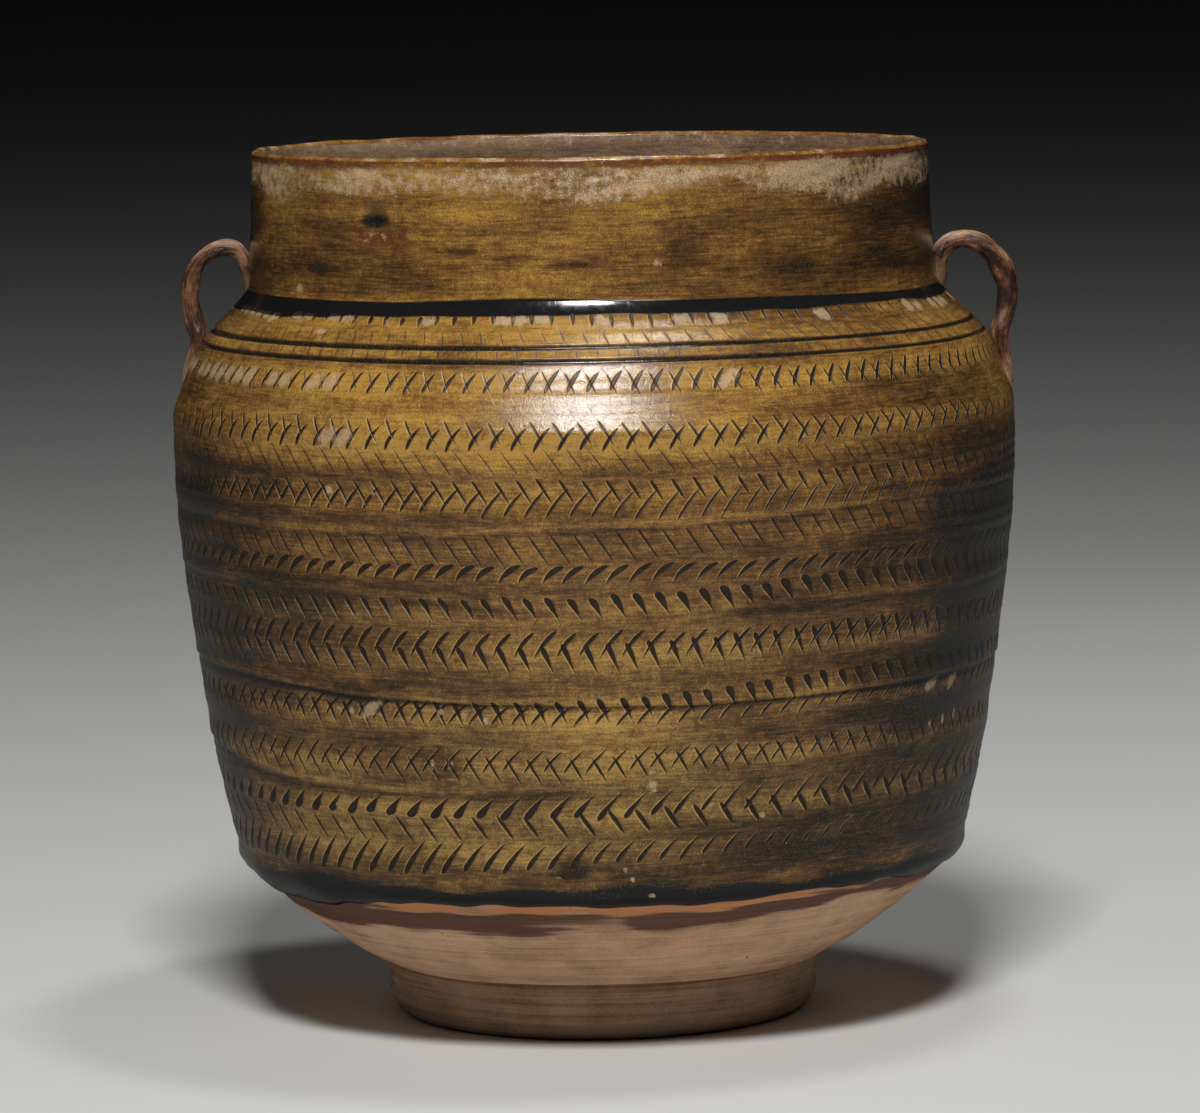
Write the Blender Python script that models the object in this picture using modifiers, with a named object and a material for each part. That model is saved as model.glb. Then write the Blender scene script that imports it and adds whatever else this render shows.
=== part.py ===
# Stoneware storage jar, in metres, standing on z = 0 with its axis on Z.
# The clay members that a potter joins with slip are separate solids: the
# collar, the shoulder, two wall sections, the turned bowl, the foot ring
# and a loop of coiled clay on each side.

import math

import bmesh
import bpy

# Heights of the members, stacked up from the floor
FOOT_HEIGHT = 0.0166
BOWL_HEIGHT = 0.0309
LOWER_WALL_HEIGHT = 0.0590
UPPER_WALL_HEIGHT = 0.0881
SHOULDER_HEIGHT = 0.0159
COLLAR_HEIGHT = 0.0395

# Outer radii where the members meet, and at the widest point
FOOT_RADIUS = 0.0618
CARINATION_RADIUS = 0.1039
WALL_SEAM_RADIUS = 0.1152
BELLY_RADIUS = 0.1206
SHOULDER_RADIUS = 0.1129
COLLAR_BASE_RADIUS = 0.0982
RIM_RADIUS = 0.0966

# Height of the widest point above the seam between the wall sections, and
# how far the bowl's underside stands out past the foot
BELLY_RISE = 0.0560
BOWL_OVERHANG = 0.0027

# Clay thicknesses, square to the surface
LIP_THICKNESS = 0.0028
COLLAR_THICKNESS = 0.0044
WALL_THICKNESS = 0.0052
BOWL_THICKNESS = 0.0065
FLOOR_THICKNESS = 0.0110

# Lip: a small flat land between two rounded edges
LIP_LAND_WIDTH = 0.0010

# Foot ring
FOOT_RING_WIDTH = 0.0115
FOOT_RECESS_DEPTH = 0.0080
FOOT_BEVEL_HEIGHT = 0.0055
FOOT_BEVEL_WIDTH = 0.0052
FOOT_INNER_BEVEL = 0.0015

# Incised double line round the shoulder's edge
LINE_WIDTH = 0.0013
LINE_DEPTH = 0.0009
UPPER_LINE_RISE = 0.0047
LOWER_LINE_RISE = 0.0012

# Layer of slip between joined members
SLIP_GAP = 0.0003

# Loop handles: clay coil, the width of shoulder that a loop spans, rise of
# its centre line above the shoulder's lower edge, and how far that line
# stands out past the same edge
COIL_RADIUS = 0.0028
LOOP_SPAN = 0.0147
LEFT_HANDLE_RISE = 0.0269
LEFT_HANDLE_OVERHANG = 0.0030
RIGHT_HANDLE_RISE = 0.0260
RIGHT_HANDLE_OVERHANG = 0.0062
HANDLE_TAIL_LENGTH = 0.0130

# Facets round the axis and round the coil, and points along a curve
TURN_STEPS = 64
COIL_BEVEL_RESOLUTION = 3
POINTS_PER_SPAN = 2
EDGE_ARC_STEPS = 3
SHARP_ANGLE = math.radians(32)

# Points closer than this are one point
MERGE_DISTANCE = 0.00001

# Length over which a wall's slope is averaged for its inside surface
SLOPE_REACH = 0.0040

# Levels of the seams
FOOT_TOP = FOOT_HEIGHT
CARINATION_LEVEL = FOOT_TOP + BOWL_HEIGHT
WALL_SEAM_LEVEL = CARINATION_LEVEL + LOWER_WALL_HEIGHT
BELLY_LEVEL = WALL_SEAM_LEVEL + BELLY_RISE
SHOULDER_LEVEL = WALL_SEAM_LEVEL + UPPER_WALL_HEIGHT
COLLAR_LEVEL = SHOULDER_LEVEL + SHOULDER_HEIGHT
RIM_LEVEL = COLLAR_LEVEL + COLLAR_HEIGHT

# In-between points of the outline: share of the height and share of the
# change in radius between the two named radii that they lie between
bowl_swell_shares = ((0.22, 0.30), (0.52, 0.62), (0.80, 0.86))
lower_wall_swell_shares = ((0.24, 0.32), (0.50, 0.62), (0.76, 0.84))
upper_wall_swell_shares = ((0.50, 0.68),)
shoulder_turn_shares = ((0.40, 0.12), (0.72, 0.48))
shoulder_slope_shares = ((0.50, 0.52),)

# Centre line of a loop from the leg on the collar over the arch: distance
# from the jar's skin as a share of the loop's reach, share of the rise and
# share of the coil
left_arch_shares = (
    (0.147, 0.87, 1.00),
    (0.375, 1.00, 1.00),
    (0.662, 0.95, 0.96),
    (0.903, 0.80, 0.93),
    (0.959, 0.56, 0.93),
    (0.638, 0.33, 0.93),
)
right_arch_shares = (
    (0.164, 0.89, 0.95),
    (0.380, 1.00, 1.00),
    (0.656, 0.93, 1.04),
    (0.904, 0.69, 1.04),
    (0.767, 0.40, 1.04),
    (0.487, 0.20, 1.04),
)

# Ends of a loop on the jar's skin: share of the rise or of the tail, and
# the centre's stand-off and the coil's radius as shares of the coil
leg_shares = ((0.46, 0.30, 0.70), (0.66, 0.40, 0.85))
left_tail_shares = ((0.00, 0.55, 1.10), (0.40, 0.35, 0.80), (0.85, 0.18, 0.50))
right_tail_shares = ((0.00, 1.20, 1.28), (0.42, 0.70, 1.00), (1.00, 0.45, 0.60))


def smooth_through(stations, points_per_span):
    # Catmull-Rom curve through the stations, which keep their places
    padded = [stations[0]] + list(stations) + [stations[-1]]
    curve = []
    for index in range(1, len(padded) - 2):
        before, start, end, after = padded[index - 1:index + 3]
        for step in range(points_per_span):
            t = step / points_per_span
            curve.append(tuple(
                0.5 * (2 * b + (c - a) * t + (2 * a - 5 * b + 4 * c - d) * t ** 2
                       + (3 * b - a - 3 * c + d) * t ** 3)
                for a, b, c, d in zip(before, start, end, after)))
    curve.append(tuple(stations[-1]))
    return curve


def between(start, end, shares):
    # Outline points given as shares between two (radius, level) points
    return [(start[0] + radius_share * (end[0] - start[0]),
             start[1] + height_share * (end[1] - start[1]))
            for height_share, radius_share in shares]


def skin_outline():
    # Outer outline from the foot up to the rim, densely sampled
    foot = (FOOT_RADIUS + BOWL_OVERHANG, FOOT_TOP)
    carination = (CARINATION_RADIUS, CARINATION_LEVEL)
    seam = (WALL_SEAM_RADIUS, WALL_SEAM_LEVEL)
    belly = (BELLY_RADIUS, BELLY_LEVEL)
    shoulder = (SHOULDER_RADIUS, SHOULDER_LEVEL)
    collar = (COLLAR_BASE_RADIUS, COLLAR_LEVEL)
    bowl = [foot] + between(foot, carination, bowl_swell_shares) + [carination]
    body = ([carination] + between(carination, seam, lower_wall_swell_shares)
            + [seam] + between(seam, belly, upper_wall_swell_shares)
            + [belly] + between(belly, shoulder, shoulder_turn_shares)
            + [shoulder] + between(shoulder, collar, shoulder_slope_shares) + [collar])
    return (smooth_through(bowl, POINTS_PER_SPAN)[:-1]
            + smooth_through(body, POINTS_PER_SPAN) + [(RIM_RADIUS, RIM_LEVEL)])


SKIN = skin_outline()


def interpolate(table, level):
    # Linear reading of a rising (value, level) table
    if level <= table[0][1]:
        return table[0][0]
    for (low_value, low), (high_value, high) in zip(table, table[1:]):
        if level <= high:
            return low_value + (high_value - low_value) * (level - low) / (high - low)
    return table[-1][0]


def skin_radius(level):
    return interpolate(SKIN, level)


def slope_factor(level):
    # Horizontal run through a wall whose thickness is measured square to it
    low = max(level - SLOPE_REACH, FOOT_TOP)
    high = min(level + SLOPE_REACH, RIM_LEVEL)
    slope = (skin_radius(high) - skin_radius(low)) / (high - low)
    return math.hypot(1, slope)


def thickness(level):
    return interpolate([(BOWL_THICKNESS, CARINATION_LEVEL), (WALL_THICKNESS, WALL_SEAM_LEVEL),
                        (WALL_THICKNESS, SHOULDER_LEVEL), (COLLAR_THICKNESS, COLLAR_LEVEL),
                        (LIP_THICKNESS, RIM_LEVEL)], level)


def inside_radius(level):
    return skin_radius(level) - thickness(level) * slope_factor(level)


def levels_between(low, high):
    # The outline's own levels inside a stretch, from its top to its bottom
    inner = [level for _, level in SKIN if low + SLIP_GAP < level < high - SLIP_GAP]
    return [high] + inner[::-1] + [low]


def arc(centre, radii, start, end, steps):
    # Quarter arcs for rounded edges, from one angle in degrees to another
    angles = [math.radians(start + (end - start) * step / steps) for step in range(steps + 1)]
    return [(centre[0] + radii[0] * math.cos(angle), centre[1] + radii[1] * math.sin(angle))
            for angle in angles]


def new_collection(name):
    collection = bpy.data.collections.new(name)
    bpy.context.scene.collection.children.link(collection)
    return collection


def clay_material(name, colour, roughness):
    material = bpy.data.materials.new(name)
    material.use_nodes = True
    surface = material.node_tree.nodes["Principled BSDF"]
    surface.inputs["Base Color"].default_value = (*colour, 1)
    surface.inputs["Roughness"].default_value = roughness
    surface.inputs["Metallic"].default_value = 0
    return material


def turned(name, outline, closed, collection):
    # A profile in the XZ plane, down its outer side and up its inner side,
    # swept once round Z by a Screw modifier
    mesh = bpy.data.meshes.new(name)
    edges = [(index, index + 1) for index in range(len(outline) - 1)]
    if closed:
        edges.append((len(outline) - 1, 0))
    mesh.from_pydata([(radius, 0, level) for radius, level in outline], edges, [])
    piece = bpy.data.objects.new(name, mesh)
    collection.objects.link(piece)
    screw = piece.modifiers.new("turning", "SCREW")
    screw.axis = "Z"
    screw.angle = math.tau
    screw.steps = TURN_STEPS
    screw.render_steps = TURN_STEPS
    screw.use_merge_vertices = True
    screw.merge_threshold = MERGE_DISTANCE
    screw.use_smooth_shade = True
    return piece


def as_mesh(piece):
    # Replaces an object by its evaluated mesh, closed and shaded smooth
    evaluated = piece.evaluated_get(bpy.context.evaluated_depsgraph_get())
    mesh = bpy.data.meshes.new_from_object(evaluated)
    work = bmesh.new()
    work.from_mesh(mesh)
    bmesh.ops.remove_doubles(work, verts=work.verts, dist=MERGE_DISTANCE)
    work.to_mesh(mesh)
    work.free()
    mesh.shade_smooth()
    mesh.set_sharp_from_angle(angle=SHARP_ANGLE)
    name = piece.name
    collection = piece.users_collection[0]
    placed = piece.matrix_world.copy()
    bpy.data.objects.remove(piece)
    solid = bpy.data.objects.new(name, mesh)
    solid.matrix_world = placed
    collection.objects.link(solid)
    return solid


def section(name, low, high, material, collection):
    # A ring of wall between two seams, with a layer of slip left on top
    levels = levels_between(low, high - SLIP_GAP)
    outside = [(skin_radius(level), level) for level in levels]
    inside = [(inside_radius(level), level) for level in levels[::-1]]
    piece = as_mesh(turned(name, outside + inside, True, collection))
    piece.data.materials.append(material)
    return piece


def incised(outside, line_level):
    # Cuts a square groove into a run of outline points at one level
    half = LINE_WIDTH / 2
    top = line_level + half
    bottom = line_level - half
    above = [point for point in outside if point[1] > top + SLIP_GAP]
    below = [point for point in outside if point[1] < bottom - SLIP_GAP]
    groove = [(skin_radius(top), top), (skin_radius(line_level) - LINE_DEPTH, top),
              (skin_radius(line_level) - LINE_DEPTH, bottom), (skin_radius(bottom), bottom)]
    return above + groove + below


def shoulder(material, collection):
    levels = levels_between(SHOULDER_LEVEL, COLLAR_LEVEL - SLIP_GAP)
    outside = [(skin_radius(level), level) for level in levels]
    outside = incised(outside, SHOULDER_LEVEL + UPPER_LINE_RISE)
    outside = incised(outside, SHOULDER_LEVEL + LOWER_LINE_RISE)
    inside = [(inside_radius(level), level) for level in levels[::-1]]
    piece = as_mesh(turned("shoulder", outside + inside, True, collection))
    piece.data.materials.append(material)
    return piece


def collar(material, collection):
    # The neck ring, with the lip's flat land between two rounded edges
    edge = (LIP_THICKNESS - LIP_LAND_WIDTH) / 2
    spring = RIM_LEVEL - edge
    outer_edge = arc((skin_radius(spring) - edge, spring), (edge, edge), 90, 0, EDGE_ARC_STEPS)
    inner_edge = arc((inside_radius(spring) + edge, spring), (edge, edge), 180, 90, EDGE_ARC_STEPS)
    waist = (COLLAR_LEVEL + spring) / 2
    levels = [waist, COLLAR_LEVEL]
    outside = outer_edge + [(skin_radius(level), level) for level in levels]
    inside = [(inside_radius(level), level) for level in levels[::-1]] + inner_edge
    piece = as_mesh(turned("collar", outside + inside, True, collection))
    piece.data.materials.append(material)
    return piece


def lower_bowl(material, collection):
    # The turned base: its wall, its floor and the plug inside the foot ring
    plug_radius = FOOT_RADIUS - FOOT_RING_WIDTH - SLIP_GAP
    floor_level = FOOT_RECESS_DEPTH + FLOOR_THICKNESS
    underside = FOOT_TOP + SLIP_GAP
    levels = levels_between(underside, CARINATION_LEVEL - SLIP_GAP)
    outside = [(skin_radius(level), level) for level in levels]
    base = [(plug_radius, underside), (plug_radius, FOOT_RECESS_DEPTH), (0, FOOT_RECESS_DEPTH)]
    wall_start = floor_level + BOWL_THICKNESS
    inner_levels = [level for level in levels[::-1] if level > wall_start]
    corner = (inside_radius(wall_start) - BOWL_THICKNESS, wall_start - BOWL_THICKNESS / 2)
    inside = ([(0, floor_level), (plug_radius - FLOOR_THICKNESS, floor_level), corner]
              + [(inside_radius(wall_start), wall_start)]
              + [(inside_radius(level), level) for level in inner_levels])
    outline = [inside[-1]] + outside + base
    piece = as_mesh(turned("lower_bowl", outline + inside[:-1], True, collection))
    piece.data.materials.append(material)
    return piece


def foot_ring(material, collection):
    inner = FOOT_RADIUS - FOOT_RING_WIDTH
    outer_bevel = arc((FOOT_RADIUS - FOOT_BEVEL_WIDTH, FOOT_BEVEL_HEIGHT),
                      (FOOT_BEVEL_WIDTH, FOOT_BEVEL_HEIGHT), 0, -90, EDGE_ARC_STEPS)
    inner_bevel = [(inner + FOOT_INNER_BEVEL, 0), (inner, FOOT_INNER_BEVEL)]
    outline = [(FOOT_RADIUS, FOOT_TOP)] + outer_bevel + inner_bevel + [(inner, FOOT_TOP)]
    piece = as_mesh(turned("foot_ring", outline, True, collection))
    piece.data.materials.append(material)
    return piece


def skin_cutter(collection):
    # The jar's outer form, one layer of slip larger, which beds the loops
    low = SHOULDER_LEVEL - 2 * HANDLE_TAIL_LENGTH
    high = SHOULDER_LEVEL + max(LEFT_HANDLE_RISE, RIGHT_HANDLE_RISE) + 2 * COIL_RADIUS
    side = [(skin_radius(level) + SLIP_GAP * slope_factor(level), level)
            for level in levels_between(low, high)]
    outline = [(0, high)] + side + [(0, low)]
    cutter = as_mesh(turned("skin_cutter", outline, False, collection))
    cutter.hide_render = True
    cutter.display_type = "WIRE"
    return cutter


def loop_handle(name, rise, overhang, arch_shares, tail_shares, turn, cutter, material,
                collection):
    # Centre line: up the collar, over the arch, down onto the shoulder's
    # edge and thinning out down the wall
    reach = LOOP_SPAN + overhang
    stations = []
    for rise_share, stand_share, coil_share in leg_shares:
        level = SHOULDER_LEVEL + rise_share * rise
        stations.append((skin_radius(level) + stand_share * COIL_RADIUS, level, coil_share))
    for reach_share, rise_share, coil_share in arch_shares:
        level = SHOULDER_LEVEL + rise_share * rise
        stations.append((skin_radius(level) + reach_share * reach, level, coil_share))
    for tail_share, stand_share, coil_share in tail_shares:
        level = SHOULDER_LEVEL - tail_share * HANDLE_TAIL_LENGTH
        stations.append((skin_radius(level) + stand_share * COIL_RADIUS, level, coil_share))
    path = smooth_through(stations, POINTS_PER_SPAN)
    curve = bpy.data.curves.new(name, "CURVE")
    curve.dimensions = "3D"
    curve.bevel_depth = COIL_RADIUS
    curve.bevel_resolution = COIL_BEVEL_RESOLUTION
    curve.use_fill_caps = True
    spline = curve.splines.new("POLY")
    spline.points.add(len(path) - 1)
    for point, (radius, level, coil_share) in zip(spline.points, path):
        point.co = (radius, 0, level, 1)
        point.radius = coil_share
    coil = bpy.data.objects.new(name, curve)
    coil.rotation_euler = (0, 0, turn)
    collection.objects.link(coil)
    bpy.context.view_layer.update()
    handle = as_mesh(coil)
    handle.data.materials.append(material)
    bed = handle.modifiers.new("bed on the jar", "BOOLEAN")
    bed.operation = "DIFFERENCE"
    bed.solver = "EXACT"
    bed.object = cutter
    return handle


def build():
    for piece in list(bpy.data.objects):
        bpy.data.objects.remove(piece)
    jar = new_collection("stoneware_jar")
    cutters = new_collection("cutters")
    glaze = clay_material("amber brown glaze", (0.16, 0.095, 0.03), 0.25)
    olive_glaze = clay_material("olive glaze", (0.21, 0.145, 0.045), 0.25)
    dark_glaze = clay_material("dark glaze", (0.09, 0.055, 0.022), 0.25)
    rim_glaze = clay_material("worn rim glaze", (0.17, 0.10, 0.05), 0.40)
    bare_clay = clay_material("bare buff clay", (0.33, 0.20, 0.12), 0.85)
    foot_clay = clay_material("foot clay", (0.24, 0.16, 0.10), 0.90)
    coil_clay = clay_material("iron red coil clay", (0.20, 0.085, 0.045), 0.60)
    pale_coil_clay = clay_material("pale red coil clay", (0.25, 0.11, 0.06), 0.60)
    collar(rim_glaze, jar)
    shoulder(olive_glaze, jar)
    section("upper_wall", WALL_SEAM_LEVEL, SHOULDER_LEVEL, glaze, jar)
    section("lower_wall", CARINATION_LEVEL, WALL_SEAM_LEVEL, dark_glaze, jar)
    lower_bowl(bare_clay, jar)
    foot_ring(foot_clay, jar)
    cutter = skin_cutter(cutters)
    loop_handle("handle_left", LEFT_HANDLE_RISE, LEFT_HANDLE_OVERHANG, left_arch_shares,
                left_tail_shares, math.pi, cutter, pale_coil_clay, jar)
    loop_handle("handle_right", RIGHT_HANDLE_RISE, RIGHT_HANDLE_OVERHANG, right_arch_shares,
                right_tail_shares, 0, cutter, coil_clay, jar)


build()
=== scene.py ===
import math
from functools import partial

import bpy
import numpy as np
from mathutils import Matrix, Vector


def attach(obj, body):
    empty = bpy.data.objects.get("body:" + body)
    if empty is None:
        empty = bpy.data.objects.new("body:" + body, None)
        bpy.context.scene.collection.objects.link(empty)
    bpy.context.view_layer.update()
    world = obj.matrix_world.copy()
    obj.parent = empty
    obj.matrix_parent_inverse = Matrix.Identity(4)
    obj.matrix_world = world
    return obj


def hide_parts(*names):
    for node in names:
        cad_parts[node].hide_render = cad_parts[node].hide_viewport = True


# An old stoneware storage jar: thrown walls under a brown iron glaze with rows of
# chatter cuts, a bare turned bowl and foot, and two loops of coiled clay.
# Lengths are in millimetres until a mesh is filled, and turn 0 is the front (-Y).

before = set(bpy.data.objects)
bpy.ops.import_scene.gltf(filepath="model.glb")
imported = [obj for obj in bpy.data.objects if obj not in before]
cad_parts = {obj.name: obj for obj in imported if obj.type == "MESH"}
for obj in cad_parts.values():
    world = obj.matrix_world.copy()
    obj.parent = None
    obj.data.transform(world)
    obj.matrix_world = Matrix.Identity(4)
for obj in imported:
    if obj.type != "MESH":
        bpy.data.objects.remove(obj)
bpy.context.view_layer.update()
scene = bpy.context.scene
millimetre = 0.001


def linearColour(hexText):
    # sRGB to linear: ((c + 0.055) / 1.055) to the power 2.4, or c / 12.92 when dark
    channels = [int(hexText[i:i + 2], 16) / 255 for i in (1, 3, 5)]
    linear = [((c + 0.055) / 1.055) ** 2.4 if c > 0.04045 else c / 12.92 for c in channels]
    return (*linear, 1.0)


def smoothStep(low, high, x):
    # 3t² - 2t³, with t going from 0 at low to 1 at high
    t = np.clip((x - low) / (high - low), 0, 1)
    return t * t * (3 - 2 * t)


def inFront(degrees):
    # 1 in front and at the sides, falling to 0 behind, so that left and right meet there
    return smoothStep(165, 115, np.abs(degrees))


def bell(x, centre, width):
    # exp(-((x - centre) / width)²)
    return np.exp(-((x - centre) / width) ** 2)


def waves(turn, level, seed, count, turns, rise=(0, 0)):
    # Sum of cosines over the root of half their count. Each has a whole number of waves round
    # the axis, so that it closes; turns is the range of those numbers and rise the range of
    # radians per millimetre.
    rng = np.random.default_rng(seed)
    total = np.zeros(np.broadcast(turn, level).shape)
    for _ in range(count):
        around = rng.integers(turns[0], turns[1] + 1)
        upward = rng.uniform(rise[0], rise[1]) * rng.choice([-1, 1])
        total += np.cos(around * turn + upward * level + rng.uniform(0, math.tau))
    return total / math.sqrt(count / 2)


def lumps(turn, level, table):
    # Sum of waves times their heights; each row has a height and what the waves take
    return sum(height * waves(turn, level, *wave) for height, *wave in table)


def ellipses(turn, level, radius, spots):
    # Sum of flat-topped ellipses: strength times exp(-(a² + b²)²), where a and b are
    # the distances round and up over the half sizes
    total = np.zeros(np.broadcast(turn, level).shape)
    for angle, height, halfWidth, halfHeight, strength in spots:
        across = (turn - math.radians(angle)) * radius / halfWidth
        total += strength * np.exp(-(across ** 2 + ((level - height) / halfHeight) ** 2) ** 2)
    return total


def roundAxis(turn, angles, values, blur=9):
    # A closed curve round the axis through values at the given angles, smoothed by
    # damping its harmonics: exp(-(k blur)² / 2)
    evenly = np.linspace(-180, 180, 720, endpoint=False)
    rough = np.interp(evenly, angles, values, period=360)
    damping = np.exp(-(np.arange(361) * math.radians(blur)) ** 2 / 2)
    smooth = np.fft.irfft(np.fft.rfft(rough) * damping, 720)
    return np.interp(np.degrees(turn), evenly, smooth, period=360)


def smoothLine(points, perSpan):
    # Catmull-Rom curve: half of (2b + (c - a)t + (2a - 5b + 4c - d)t² + (3b - a - 3c + d)t³)
    p = np.array(points, float)
    p = np.vstack([2 * p[0] - p[1], p, 2 * p[-1] - p[-2]])
    t = np.linspace(0, 1, perSpan, endpoint=False)[None, :, None]
    a, b, c, d = (p[i:len(p) - 3 + i, None, :] for i in range(4))
    curve = 0.5 * (2 * b + (c - a) * t + (2 * a - 5 * b + 4 * c - d) * t ** 2
                   + (3 * b - a - 3 * c + d) * t ** 3)
    return np.vstack([curve.reshape(-1, p.shape[1]), p[-2]])


def aroundAxis(columns):
    # One row of turns round the axis, whose last place repeats the first
    return np.linspace(-math.pi, math.pi, columns + 1)[None, :]


def twoSpans(start, knee, end, before, after):
    # Even steps up to the knee, and even steps of another size after it
    return np.concatenate([np.linspace(start, knee, before), np.linspace(knee, end, after)[1:]])


def rowsBetween(high, low, shares):
    # Rows from one closed line round the axis to another, at the given shares of the way
    return high + (low - high) * shares[:, None]


jar = {
    # Height and radius of the clay's outside, from the foot up to the rim
    "skin": [(16.6, 64.5), (18, 67), (21, 71.8), (24, 76.6), (27, 80.8), (30, 84.8), (33, 89),
             (36, 92.3), (39, 95.6), (42, 98.9), (45, 101.9), (47.5, 103.8), (51, 104.8),
             (57, 106.6), (63, 108.0), (69, 109.2), (75, 110.5), (80, 111.3), (86, 112.4),
             (92, 113.2), (98, 114.0), (104, 114.9), (110, 115.7), (116, 116.5), (122, 117.3),
             (128, 118.1), (134, 118.7), (140, 119.3), (147, 119.9), (154, 120.3), (161, 120.5),
             (167, 120.6), (172, 120.5), (175, 120.2), (178, 119.6), (182, 118.2), (186, 116.8),
             (190, 115.5), (195, 112.9), (199, 109.4), (203, 105.0), (206.5, 101.4), (208.6, 99.5),
             (210.4, 98.5), (213, 98.1), (220, 97.8), (230, 97.4), (240, 97.0), (250, 96.6)],
    # Height and thickness of the wall, square to its outside
    "thickness": [(16.6, 7.0), (47.5, 6.5), (106.5, 5.2), (194.6, 5.2), (210.5, 4.4), (250, 2.8)],
    "columns": 704,
}
skinLine = smoothLine([(r, z) for z, r in jar["skin"]], 14)
skinSlope = np.gradient(skinLine[:, 0]) / np.gradient(skinLine[:, 1])


def skin(level):
    # Radius of the outside and the two parts of its normal, which is (1, -dr/dz) to unit length
    slope = np.interp(level, skinLine[:, 1], skinSlope)
    length = np.hypot(1, slope)
    return np.interp(level, skinLine[:, 1], skinLine[:, 0]), 1 / length, -slope / length


def inside(level):
    # Radius of the inside: the skin less the wall, measured level through the slope
    radius, outward, _ = skin(level)
    heights, walls = np.array(jar["thickness"]).T
    return radius - np.interp(level, heights, walls) / outward


def liftSkin(level, height):
    # Radius and height of the skin at a level, moved out along its normal
    radius, outward, upward = skin(level)
    return radius + height * outward, level + height * upward


def gridFaces(rows, columns, closed):
    # Quads of a grid that closes round its columns, and round its rows too if closed: first
    # their points, then their corners in fields, which have one column more
    i, j = np.meshgrid(np.arange(rows if closed else rows - 1), np.arange(columns), indexing="ij")
    i, j = i.ravel(), j.ravel()
    down = (i + 1) % rows
    return [np.stack([i * wide + j, down * wide + j, down * wide + (j + 1) % wide,
                      i * wide + (j + 1) % wide], 1) for wide in (columns, columns + 1)]


def fillMesh(names, points, quads, triangles, fields, fieldCorners, materials, faceMaterials):
    # Puts points, faces and corner fields into a mesh; fields are read at fieldCorners. Names
    # are the piece's own, the node that it replaces and its material slot, which is not used.
    name, node, slot = names
    mesh = bpy.data.meshes.new(name)
    starts = np.concatenate([np.arange(len(quads)) * 4,
                             len(quads) * 4 + np.arange(len(triangles)) * 3])
    loops = np.concatenate([quads.ravel(), triangles.ravel()])
    mesh.vertices.add(len(points))
    mesh.vertices.foreach_set("co", (points * millimetre).astype(np.float32).ravel())
    mesh.loops.add(len(loops))
    mesh.loops.foreach_set("vertex_index", loops.astype(np.int32))
    mesh.polygons.add(len(starts))
    mesh.polygons.foreach_set("loop_start", starts.astype(np.int32))
    for material in materials:
        mesh.materials.append(material)
    mesh.polygons.foreach_set("material_index", faceMaterials.astype(np.int32))
    mesh.update(calc_edges=True)
    for field, values in fields.items():
        picked = values.reshape(-1, values.shape[-1])[fieldCorners].astype(np.float32).ravel()
        if field == "skin":
            mesh.uv_layers.new(name=field).data.foreach_set("uv", picked)
        else:
            mesh.attributes.new(field, "FLOAT_VECTOR", "CORNER").data.foreach_set("vector", picked)
    mesh.validate()
    mesh.shade_smooth()
    mesh.set_sharp_from_angle(angle=math.radians(50))
    piece = bpy.data.objects.new(name, mesh)
    scene.collection.objects.link(piece)
    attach(piece, "root")
    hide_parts(node)
    print(name, len(mesh.polygons), "faces")


def skinMap(turn, level):
    # The piece's map: once round the axis, and the jar's whole height
    return np.stack(np.broadcast_arrays(turn / math.tau + 0.5, level / 250), -1)


def turnedPiece(names, radii, levels, fields, materials, rowMaterials, poles=False):
    # A closed outline of rows carried round the axis: x = r sin(turn), y = -r cos(turn).
    # Each row is an array round the axis whose last column repeats the first. With poles,
    # the first and last rows lie on the axis and become one point each.
    rows, across = radii.shape
    columns = across - 1
    turn = aroundAxis(columns)
    points = np.stack([radii * np.sin(turn), -radii * np.cos(turn), levels], -1)
    points = points[:, :columns].reshape(-1, 3)
    quads, corners = gridFaces(rows, columns, not poles)
    row = quads[:, 0] // columns
    faceMaterials = rowMaterials[row]
    triangles = np.zeros((0, 3), int)
    if poles:
        first, final = row == 0, row == rows - 2
        middle = ~(first | final)
        end = (rows - 1) * columns
        points[:columns] = points[:columns].mean(0)
        points[end:] = points[end:].mean(0)
        top = np.stack([np.zeros(columns, int), quads[first, 1], quads[first, 2]], 1)
        bottom = np.stack([quads[final, 0], np.full(columns, end), quads[final, 3]], 1)
        corners = np.concatenate([corners[middle].ravel(), corners[first][:, [0, 1, 2]].ravel(),
                                  corners[final][:, [0, 1, 3]].ravel()])
        faceMaterials = np.concatenate([faceMaterials[part] for part in (middle, first, final)])
        used = np.ones(len(points), bool)
        used[1:columns] = False
        used[end + 1:] = False
        renumber = np.cumsum(used) - 1
        points, quads = points[used], renumber[quads[middle]]
        triangles = renumber[np.vstack([top, bottom])]
    fields = {key: np.broadcast_to(value, (rows, across, value.shape[-1]))
              for key, value in {"skin": skinMap(turn, levels), **fields}.items()}
    fillMesh(names, points, quads, triangles, fields, corners.ravel(), materials, faceMaterials)


# Rows of cuts

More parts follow.
